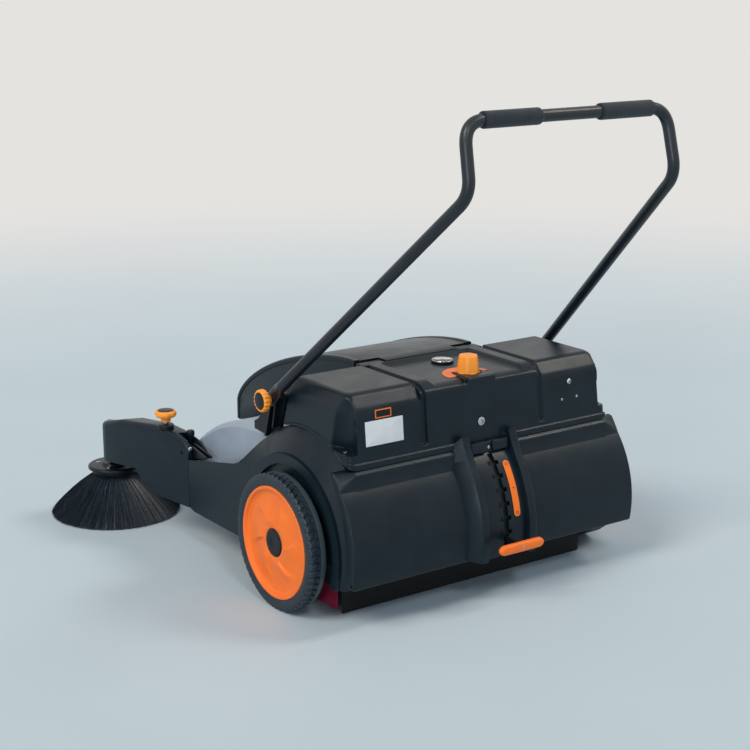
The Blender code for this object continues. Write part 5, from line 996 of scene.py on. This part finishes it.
    def rib(self):
        """One rib: an upright inner side, a flat crest and a slanting flank, carried up the arc and on to its tip.

        Where it meets the cover's wall the flank is drawn in, and its foot is cut off level.
        """
        radius, crest, wall_y, foot_z, tip = 0.263, 0.0738, 0.1735, 0.1015, np.array([0.186, 0.366])
        arc = about_axle(radius, np.linspace(math.asin((foot_z - AXLE_Z) / radius), math.radians(33), 44))
        t = np.linspace(0, 1, 17)[1:, None]
        bend = (1 - t) ** 2 * arc[-1] + 2 * t * (1 - t) * np.array([0.1883, 0.3429]) + t ** 2 * tip
        line = np.vstack([arc, bend])
        section = eased([(0.0552, -0.03), (0.0552, 0.0), (crest, 0.0), (0.0985, -0.0305)],
                        [0, 0.0026, 0.0026, 0], 5)
        section = np.vstack([section, [(0.0985, -0.034), (0.0552, -0.034)]])
        rings = swept(line, section)
        x, y, z = rings[..., 0], rings[..., 1], rings[..., 2]
        over = np.clip((line[:, :1] - wall_y) / np.maximum(line[:, :1] - y, 1e-6), 0, 1)
        rings[..., 0] = np.where(section[:, 0] > crest, crest + (x - crest) * over, x)
        rings[..., 1] = np.maximum(y, wall_y)
        rings[..., 2] = np.maximum(np.minimum(z, tip[1] + section[:, 1] * 0.4), foot_z)
        return loft(rings)

    def panel(self):
        """Height field round the axle with turned-in edges, less the gate's comb of a slot and six pairs of notches.

        The floor of the comb is left open, so that the black sheet of painted shade behind it shows.
        """
        count, slot_half, notch_half, blur, depth = 6, 0.0062, 0.014, 0.0004, 0.005
        start, end = math.radians(-5), math.radians(42)
        pitch = (end - start) / (count + 0.6)
        middles = start + pitch * (np.arange(count) + 0.9)
        half, brink = pitch * 0.14, blur / SPINE
        edges = np.concatenate([middles - half, middles + half, [start, end]])
        low = math.asin((0.102 - AXLE_Z) / SPINE)
        turn = np.unique(np.concatenate([np.linspace(low, math.radians(43), 90), edges - brink, edges + brink]))
        sides = np.array([slot_half, notch_half])
        x = np.unique(np.concatenate([np.linspace(-0.0555, 0.0555, 40),
                                      *(sign * (sides + d) for sign in (1, -1) for d in (-blur, blur))]))
        across = np.abs(x)[:, None]
        slot = step(slot_half - across, -blur, blur) * step(turn, start - brink, start + brink)
        slot = slot * step(end - turn, -brink, brink)
        near = np.abs(turn[:, None] - middles).min(1)
        notch = step(notch_half - across, -blur, blur) * step(half - near, -brink, brink)
        radius = np.pad(SPINE - depth * np.maximum(slot, notch), ((1, 1), (0, 0)), constant_values=0.2494)
        radius = np.pad(radius, 1, constant_values=0.236)
        grid = np.empty(radius.shape + (3,))
        grid[..., 0] = np.pad(x, 2, "edge")[:, None]
        grid[..., 1:] = about_axle(radius, np.pad(turn, 1, "edge"))
        points, (quads,) = skin(grid)
        middle = points[quads].mean(1)
        reach = np.hypot(middle[:, 1], middle[:, 2] - AXLE_Z)
        inside = (np.abs(middle[:, 0]) < notch_half) & (reach < 0.2453) & (reach > 0.2446)
        return points, [quads[~inside]]

    def execute(self, context):
        self.rear_cover()
        self.hinge_blocks()
        self.container()
        soften("brush_hood", GREY, 0.0015)
        for side, _ in SIDES:
            soften(f"side_frame_{side}", BODY, 0.0014)
            soften(f"arm_cover_{side}", BODY, 0.003, 3)
            soften(f"arm_bracket_{side}", BLACK, 0.0005, 1)
        return {"FINISHED"}


class SWEEPER_OT_front_cover(bpy.types.Operator):
    """The lid: a softened copy of its solid, with a low rim band along each side."""
    bl_idname = "sweeper.front_cover"
    bl_label = "Front cover"

    def rim_bands(self):
        """Two low bands along the lid's edges: its side line is a superellipse that falls to an upright nose."""
        top, nose, nose_top, start, power = 0.4915, -0.604, 0.29, -0.11, 1.274
        turn = np.linspace(0, np.pi / 2, 90)
        curve = np.stack([start - (start - nose) * np.sin(turn) ** power,
                          nose_top + (top - nose_top) * np.cos(turn) ** power], -1)
        section = eased([(0.15, -0.002), (0.1518, 0.0015), (0.163, 0.0015), (0.1662, -0.0018), (0.1662, -0.0105),
                         (0.164, -0.0118), (0.16, -0.006)],
                        [0.0005, 0.0012, 0.0022, 0.0022, 0.001, 0.0005, 0.0005], 4, closed=True)
        return loft(swept(np.vstack([[(-0.0885, top)], curve, [(nose, 0.243)]]), section))

    def execute(self, context):
        soften("front_cover", BODY, 0.0012)
        add_piece("lid_rim_bands", mirrored(self.rim_bands()), BODY, "lid", crease=50.0)
        return {"FINISHED"}


class SWEEPER_OT_controls(bpy.types.Operator):
    """Dial knob with its arc plate, the round gauge, the lever handle and its scale strip."""
    bl_idname = "sweeper.controls"
    bl_label = "Controls"

    def dial(self):
        """Tapered knob: a cone cut by six flats, its corners left round."""
        profile = eased([(0.0, 0.0032), (0.0262, 0.0032), (0.0262, 0.005), (0.024, 0.024), (0.0216, 0.0392),
                         (0.0192, 0.0416), (0.0, 0.042)], 0.0014, 4)

        def ripple(angle, radius, along):
            facet = 0.925 / np.cos(((angle + 0.2) % (np.pi / 3)) - np.pi / 6)
            tall = np.clip((along - 0.0034) / 0.002, 0, 1)
            return radius * (1 + (np.minimum(facet, 1) - 1) * tall), along
        add_piece("dial_knob_fluted", [turned(profile, 180, 2, KNOB, ripple=ripple)], AMBER, "dial", ["dial_knob"],
                  crease=40.0)
        collar = lathe([(0.0, 0.0001), (0.0264, 0.0001), (0.0264, 0.0026), (0.025, 0.0034), (0.0, 0.0034)],
                       0.0006, 3, 96, KNOB)
        add_piece("dial_collar", [collar], BLACK, "chassis")

    def dial_arc(self):
        """A plate between two radii round the knob; the outer one shrinks past the start, where the end is blunt."""
        degrees = np.linspace(13.0, -184.0, 60)
        arc, inner = np.radians(degrees), 0.0275
        rim = np.interp(-degrees, [-13, 30, 90, 184], [0.0605, 0.0565, 0.053, 0.053])
        blunt = np.sqrt(np.clip(1 - ((degrees - 3.0) / 10.6).clip(0, 1) ** 2, 0.02, 1))
        rows = []
        for edge, inset, rise in ((-1, 0, 0.0001), (-1, 0, 0.0009), (-1, 0.0004, 0.0012), (1, 0.0004, 0.0012),
                                  (1, 0, 0.0009), (1, 0, 0.0001)):
            radius = (rim + inner) / 2 + edge * ((rim - inner) / 2 * blunt - inset)
            rows.append(np.stack([radius * np.cos(arc), KNOB[1] + radius * np.sin(arc),
                                  np.full(len(arc), TRAY_Z + rise)], 1))
        add_piece("dial_arc_plate", loft(np.stack(rows, 1)), ORANGE, "chassis")
        # Painted shade: a slim black strip stands in for the shaded groove along the pad's edge.
        groove_shade = plate(rounded_box_outline(0.0018, 0.036, 0.0008, 3), 0.0001, 0.0027, 0.0005,
                     on_plane((0.0372, 0.1235, TRAY_Z), (0.9732, -0.2298, 0), (0.2298, 0.9732, 0)))
        add_piece("dial_groove_painted_shade", groove_shade, BLACK, "chassis")

    def gauge(self):
        """Housing, bezel, face and window as turned profiles; fifteen marks and a needle lie on the face."""
        lo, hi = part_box("gauge_case")
        at = np.array([(lo[0] + hi[0]) / 2, (lo[1] + hi[1]) / 2 - SHIFT[1], TRAY_Z])
        case = lathe([(0.0, 0.0003), (0.0253, 0.0003), (0.0255, 0.0045), (0.024, 0.0052), (0.0238, 0.004),
                      (0.0, 0.004)], 0.0006, 3, 72, at)
        bezel = lathe([(0.0226, 0.0042), (0.0239, 0.0042), (0.0239, 0.0062), (0.0233, 0.0068), (0.0226, 0.0064)],
                      0.0004, 3, 96, at, closed=True)
        face = turned([(0.0, 0.0042), (0.0226, 0.0042), (0.0226, 0.0052), (0.0, 0.0052)], 72, 2, at)
        window = lathe([(0.0, 0.0062), (0.0225, 0.0062), (0.0225, 0.0066), (0.016, 0.0072), (0.0, 0.0075)],
                       0.0004, 3, 72, at)
        add_piece("gauge_housing", [case], BLACK, "chassis", ["gauge_case"])
        add_piece("gauge_bezel", [bezel], CHROME, "chassis")
        add_piece("gauge_face", [face], ENAMEL, "chassis")
        add_piece("gauge_window", [window], WINDOW, "chassis", ["gauge_lens"])

        def on_face(turn, outline, reach, height, low, high, edge):
            along = np.array([math.sin(turn), math.cos(turn), 0.0])
            middle = at + along * reach + (0, 0, height)
            return plate(outline, low, high, edge, on_plane(middle, np.cross(along, (0, 0, 1)), along))
        marks = []
        for k, turn in enumerate(np.linspace(math.radians(-140), math.radians(140), 15)):
            half = 0.0018 if k % 2 == 0 else 0.0011
            marks += on_face(turn, rounded_box_outline(0.00035, half, 0.0002, 2), 0.0182 - half, 0.0052,
                             -0.0001, 0.0002, 0.00008)
        needle = [(-0.0008, -0.004), (0.0008, -0.004), (0.0003, 0.0145), (-0.0003, 0.0145)]
        marks += on_face(-0.9, needle, 0.0, 0.005, 0.0008, 0.0012, 0.0001)
        marks.append(turned([(0.0, 0.005), (0.0022, 0.005), (0.0022, 0.006), (0.0, 0.0061)], 24, 2, at))
        add_piece("gauge_marks", marks, INK, "chassis")

    def lever(self):
        """Handle: superellipse sections along X whose size follows a bar with round ends; a screw in its middle."""
        half, reach, tilt, deep, tall = 0.0595, 0.3, math.radians(-2), 0.0078, 0.0114
        s = np.sin(np.linspace(-np.pi / 2, np.pi / 2, 81))[:, None]
        past = np.clip((np.abs(s) * half - 0.0472) / 0.0123, 0, 1)
        share = np.sqrt(np.maximum(1 - past ** 2, 0.0)) * (0.94 + 0.06 * (1 - s ** 2))
        angle = np.linspace(0, 2 * np.pi, 40, endpoint=False)
        cos, sin = np.cos(angle), np.sin(angle)
        out = deep * np.sign(cos) * np.abs(cos) ** 0.8 * (0.45 + 0.55 * share) * np.minimum(1, share * 3) + reach
        up = tall * np.sign(sin) * np.abs(sin) ** 0.8 * share
        rings = np.stack([np.broadcast_to(s * half, out.shape), out * math.cos(tilt) - up * math.sin(tilt),
                          AXLE_Z + out * math.sin(tilt) + up * math.cos(tilt)], -1)
        add_piece("lever_grip", loft(rings), ORANGE, "lever", ["lever_handle"])
        head = screw((0, *about_axle(reach + deep, tilt)), (0, math.cos(tilt), math.sin(tilt)), 0.0042, 0.0012)
        add_piece("lever_screw", [head], ZINC, "lever")

    def scale_strip(self):
        """A long plate with round ends, bent round the axle on the panel; two rings and a screw mark it."""
        base = SPINE + 0.0003

        def on_spine(u, v, w):
            return u, (base + w) * np.cos(v / base), AXLE_Z + (base + w) * np.sin(v / base)
        half, thick, edge = 0.0084, 0.0013, 0.0004
        low, high = base * math.radians(8.3) + half, base * math.radians(37.0) - half
        ends = np.linspace(0, np.pi, 14)
        fill = np.linspace(high, low, 12)[1:-1]
        side = np.full(10, half)
        outline = np.concatenate([
            np.stack([half * np.cos(ends), high + half * np.sin(ends)], -1), np.stack([-side, fill], -1),
            np.stack([-half * np.cos(ends), low - half * np.sin(ends)], -1), np.stack([side, fill[::-1]], -1)])
        outline += np.array([STRIP_X, 0.0])
        parts = plate(outline, 0.0001, thick, edge, on_spine)[:1]
        ring = offset(outline, edge)
        for w in (thick, 0.0001):
            across = STRIP_X + (ring[:, :1] - STRIP_X) * np.linspace(1, 0, 5)
            flat = np.broadcast_arrays(across, ring[:, 1:], np.full((1, 1), w))
            parts.append(skin(np.stack(on_spine(*flat), -1), along=True))
        add_piece("scale_strip", parts, ORANGE, "container", crease=50.0)
        size, wire = 0.0036, 0.001
        loop = eased([(size, 0.0), (size, edge), (size - wire, edge), (size - wire, 0.0)], 0.0001, 2, closed=True)
        points, faces = turned(loop, 32, 2, closed=True)
        dots = []
        for v in (low, high):
            normal = np.array([0, math.cos(v / base), math.sin(v / base)])
            spot = np.array([STRIP_X, *about_axle(base + 0.0014, v / base)])
            dots.append((spot + points @ np.stack([*axes_for(normal), normal]), faces))
        middle = (low + high) / 2 / base
        dots.append(screw((STRIP_X, *about_axle(base + thick, middle)), (0, math.cos(middle), math.sin(middle)),
                          0.0017, 0.0005))
        add_piece("scale_marks", dots, INK, "container")

    def execute(self, context):
        self.dial()
        self.dial_arc()
        self.gauge()
        self.lever()
        self.scale_strip()
        return {"FINISHED"}


class SWEEPER_OT_fittings(bpy.types.Operator):
    """Star knobs, screws, bolts, blank plates, rubber strip and flaps."""
    bl_idname = "sweeper.fittings"
    bl_label = "Fittings"

    def wall(self, x, z):
        """A point of the rear wall at that X and height."""
        (y0, z0), (y1, z1) = REAR_WALL
        return np.array([x, y0 + (z - z0) * (y1 - y0) / (z1 - z0), z])

    def star(self):
        """Cap, face disc, bolt and boss below the star knob; the cap's radius dips a little at ten lobes."""
        lo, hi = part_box("star_knob_left")
        at = ((lo[0] + hi[0]) / 2, (lo[1] + hi[1]) / 2 - SHIFT[1], hi[2])

        def ripple(angle, radius, along):
            return radius - 0.0005 * (1 - np.cos(10 * angle)) * np.clip((radius - 0.02) / 0.004, 0, 1), along
        cap = lathe([(0.0, -0.029), (0.0118, -0.029), (0.0112, -0.0235), (0.014, -0.02), (0.0235, -0.0165),
                     (0.0264, -0.011), (0.0258, -0.005), (0.022, -0.0016), (0.0196, -0.0014), (0.0194, -0.003),
                     (0.0, -0.003)], 0.0016, 4, 120, at, ripple=ripple)
        disc = lathe([(0.0, -0.003), (0.019, -0.003), (0.0186, -0.0008), (0.012, -0.0002), (0.0, -0.0001)],
                     0.0008, 3, 64, at)
        bolt = lathe([(0.0, -0.07), (0.0054, -0.07), (0.0054, -0.033), (0.0082, -0.033), (0.0082, -0.0286),
                      (0.0, -0.0286)], 0.0006, 3, 32, at)
        boss = lathe([(0.0058, -0.047), (0.0195, -0.047), (0.019, -0.0375), (0.0165, -0.035), (0.0058, -0.035)],
                     0.0012, 3, 64, at, closed=True)
        return cap, disc, bolt, boss

    def arms(self):
        """The star knobs with the boss and bolt of each brush arm."""
        cap, disc, bolt, boss = self.star()
        pivot = lathe([(0.0, -0.017), (0.0052, -0.017), (0.0054, -0.008), (0.0094, -0.007), (0.0094, 0.0015),
                       (0.0076, 0.006), (0.0, 0.0066)], 0.001, 3, 40, (0.357, -0.497, 0.262))
        arm_bolt = screw((0.38, -0.4589, 0.234), (0, 1, 0.12), 0.005, 0.003, "hex")
        for side, sign in SIDES:
            star, arm = f"star_{side}", frame["nodes"][f"arm_cover_{side}"]["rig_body"]
            for name, parts, finish, body, nodes in (
                    ("star_wheel", [cap], AMBER, star, [f"star_knob_{side}"]), ("star_face", [disc], BLACK, star, []),
                    ("star_bolt", [bolt], ZINC, star, []), ("arm_boss", [boss, pivot], BLACK, arm, []),
                    ("arm_bolt", [arm_bolt], ZINC, arm, [])):
                add_piece(f"{name}_{side}", both(parts, sign), finish, body, nodes)

    def rear_wall(self):
        """Screws and blank plates on the rear wall, and a screw in each scoop."""
        normal = unit(np.array([0.0, 0.108, 0.01]))
        u_axis, v_axis = np.array([-1.0, 0.0, 0.0]), unit(np.array([0.0, -0.01, 0.108]))
        screws = [screw(self.wall(x, z), normal, radius, height, kind) for x, z, radius, height, kind in (
            (0.007, 0.387, 0.0092, 0.003, "cross"), (-0.247, 0.437, 0.0062, 0.004, "hex"),
            (-0.225, 0.399, 0.003, 0.0012, "cross"), (-0.269, 0.4, 0.003, 0.0012, "cross"))]
        screws += [screw((sign * 0.345, 0.14, 0.3697), (0, 0, 1), 0.0046, 0.002) for sign in (1, -1)]
        add_piece("rear_wall_screws", screws, ZINC, "chassis")
        for name, x, z, half_u, half_v, radius, low, high, finish in (
                ("blank_plate", 0.263, 0.4075, 0.048, 0.0262, 0.0012, 0.0001, 0.0005, FILM),
                ("mark_frame", 0.264, 0.4462, 0.0205, 0.0092, 0.0012, 0.0001, 0.0005, ORANGE),
                ("mark_blank", 0.264, 0.4462, 0.018, 0.0068, 0.0008, 0.0004, 0.0007, BLACK)):
            outline = rounded_box_outline(half_u, half_v, radius, 3)
            add_piece(name, plate(outline, low, high, 0.0001, on_plane(self.wall(x, z), u_axis, v_axis)), finish,
                      "chassis")

    def execute(self, context):
        self.arms()
        self.rear_wall()
        for side, _ in SIDES:
            soften(f"side_flap_{side}", FLAP, 0.0006, 1)
        soften("rear_seal_strip", SEAL, 0.0006, 1)
        return {"FINISHED"}


class SWEEPER_OT_stage(bpy.types.Operator):
    """Pale floor, soft lights, white surroundings and the camera at the photograph's angle."""
    bl_idname = "sweeper.stage"
    bl_label = "Stage"

    white = "#e5e3e0"

    def floor(self, context):
        """A disc of rings round the object; its shading fades into the surroundings with distance."""
        c, sizes = context.scene.sweeper_colours, context.scene.sweeper_sizes
        rings, steps = 24, 96
        radius = np.geomspace(0.5, sizes.floor_radius, rings)
        radius[0] = 0.0
        angle = np.linspace(0, 2 * np.pi, steps, endpoint=False)[:, None]
        grid = np.stack([radius * np.cos(angle), radius * np.sin(angle), np.zeros((steps, rings))], -1)
        mesh = make_mesh("floor", [skin(grid - SHIFT, along=True)])
        floor = bpy.data.objects.new("floor", mesh)
        context.scene.collection.objects.link(floor)
        # Sealed floor: pale blue-grey, matt enough that no sun shows in it.
        tree, shader, place = new_finish(FLOOR, c.floor, {"Roughness": 0.6, "Specular IOR Level": 0.2})
        tint(tree, shader, noise(tree, place, 1000.0 / 1.4, 4.0), c.floor, "#ccdce5")
        reach = add(tree, "VectorMath", None, {0: place}, operation="LENGTH")
        fade = add(tree, "MapRange", {"From Min": 1.6, "From Max": 6.0},
                   {"Value": reach.outputs["Value"]}, interpolation_type="SMOOTHSTEP")
        path = add(tree, "LightPath")
        seen = add(tree, "Math", None, {0: fade.outputs["Result"], 1: path.outputs["Is Camera Ray"]},
                   operation="MULTIPLY")
        glow = add(tree, "Emission", {"Color": linear(self.white), "Strength": 1.0})
        mix = add(tree, "MixShader", None, {0: seen.outputs[0], 1: shader.outputs[0], 2: glow.outputs[0]})
        tree.links.new(mix.outputs[0], tree.nodes["Material Output"].inputs["Surface"])
        mesh.materials.append(bpy.data.materials[FLOOR])

    def lights(self, context):
        """Four wide suns keep the floor even and draw the rounded edges; each shines from its place to the origin."""
        for name, place, level, spread, colour in (
                ("Key", (2.8, 0.4, 2.9), 1.5, 26, "#fff3e6"), ("Top", (-2.4, 1.2, 3.0), 0.75, 14, "#fff6ec"),
                ("Back", (0.9, 3.0, 3.0), 0.5, 10, "#eef6ff"), ("Rim", (3.2, 2.3, 0.7), 0.6, 10, "#e4f1ff")):
            lamp = bpy.data.lights.new(name, "SUN")
            lamp.energy = level
            lamp.color = linear(colour)[:3]
            lamp.angle = math.radians(spread)
            self.stand(context, bpy.data.objects.new(name, lamp), Vector(place), -Vector(place))

    def stand(self, context, item, place, ahead):
        """Links a lamp or the camera at a place, looking ahead."""
        context.scene.collection.objects.link(item)
        item.location = place + Vector(SHIFT)
        item.rotation_euler = ahead.to_track_quat("-Z", "Y").to_euler()

    def world(self, context):
        """A soft even light for the surfaces; the camera, glass and highlights see the warm white."""
        world = bpy.data.worlds.new("Studio")
        context.scene.world = world
        world.use_nodes = True
        tree = world.node_tree
        tree.nodes.clear()
        path = add(tree, "LightPath").outputs
        seen = add(tree, "Math", None, {0: path["Is Camera Ray"], 1: path["Is Transmission Ray"]},
                   operation="MAXIMUM")
        seen = add(tree, "Math", None, {0: seen.outputs[0], 1: path["Is Glossy Ray"]},
                   operation="MAXIMUM")
        soft = add(tree, "Background", {"Color": linear("#dfe7ee"), "Strength": 0.34})
        white = add(tree, "Background", {"Color": linear(self.white), "Strength": 1.0})
        mix = add(tree, "MixShader", None, {0: seen.outputs[0], 1: soft.outputs[0], 2: white.outputs[0]})
        add(tree, "OutputWorld", None, {"Surface": mix.outputs[0]})

    def camera(self, context):
        """The photograph's camera, as solved: a lens of 1633.7 pixels for a picture 750 pixels wide."""
        yaw, pitch = math.radians(215.292), math.radians(14.402)
        data = bpy.data.cameras.new("Camera")
        data.sensor_width = 36.0
        data.lens = 1633.7 * data.sensor_width / 750.0
        ahead = Vector((math.sin(yaw) * math.cos(pitch), math.cos(yaw) * math.cos(pitch), -math.sin(pitch)))
        context.scene.camera = bpy.data.objects.new("Camera", data)
        self.stand(context, context.scene.camera, Vector((2.1549, 2.8026, 1.3614)), ahead)

    def execute(self, context):
        context.scene.view_settings.view_transform = "Standard"
        self.floor(context)
        self.lights(context)
        self.world(context)
        self.camera(context)
        return {"FINISHED"}


BUILDERS = (SWEEPER_OT_finishes, SWEEPER_OT_wheels, SWEEPER_OT_side_brushes, SWEEPER_OT_roller,
            SWEEPER_OT_handle, SWEEPER_OT_mouldings, SWEEPER_OT_front_cover, SWEEPER_OT_controls,
            SWEEPER_OT_fittings, SWEEPER_OT_stage)


class SWEEPER_PT_panel(bpy.types.Panel):
    """Lists the sizes, the colours and the builders in order."""
    bl_idname = "SWEEPER_PT_panel"
    bl_label = "Manual floor sweeper"
    bl_space_type = "VIEW_3D"
    bl_region_type = "UI"
    bl_category = "Sweeper"

    def draw(self, context):
        for group in (context.scene.sweeper_sizes, context.scene.sweeper_colours):
            column = self.layout.column(align=True)
            for key in type(group).__annotations__:
                column.prop(group, key)
        for builder in BUILDERS:
            self.layout.operator(builder.bl_idname)


CLASSES = (SWEEPER_PG_colours, SWEEPER_PG_sizes, *BUILDERS, SWEEPER_PT_panel)


def register():
    for item in CLASSES:
        bpy.utils.register_class(item)
    bpy.types.Scene.sweeper_colours = PointerProperty(type=SWEEPER_PG_colours)
    bpy.types.Scene.sweeper_sizes = PointerProperty(type=SWEEPER_PG_sizes)


def unregister():
    del bpy.types.Scene.sweeper_sizes
    del bpy.types.Scene.sweeper_colours
    for item in reversed(CLASSES):
        bpy.utils.unregister_class(item)


def main():
    """Registers the classes and runs the builders in order."""
    register()
    for builder in BUILDERS:
        group, name = builder.bl_idname.split(".")
        getattr(getattr(bpy.ops, group), name)()


if __name__ == "__main__":
    main()
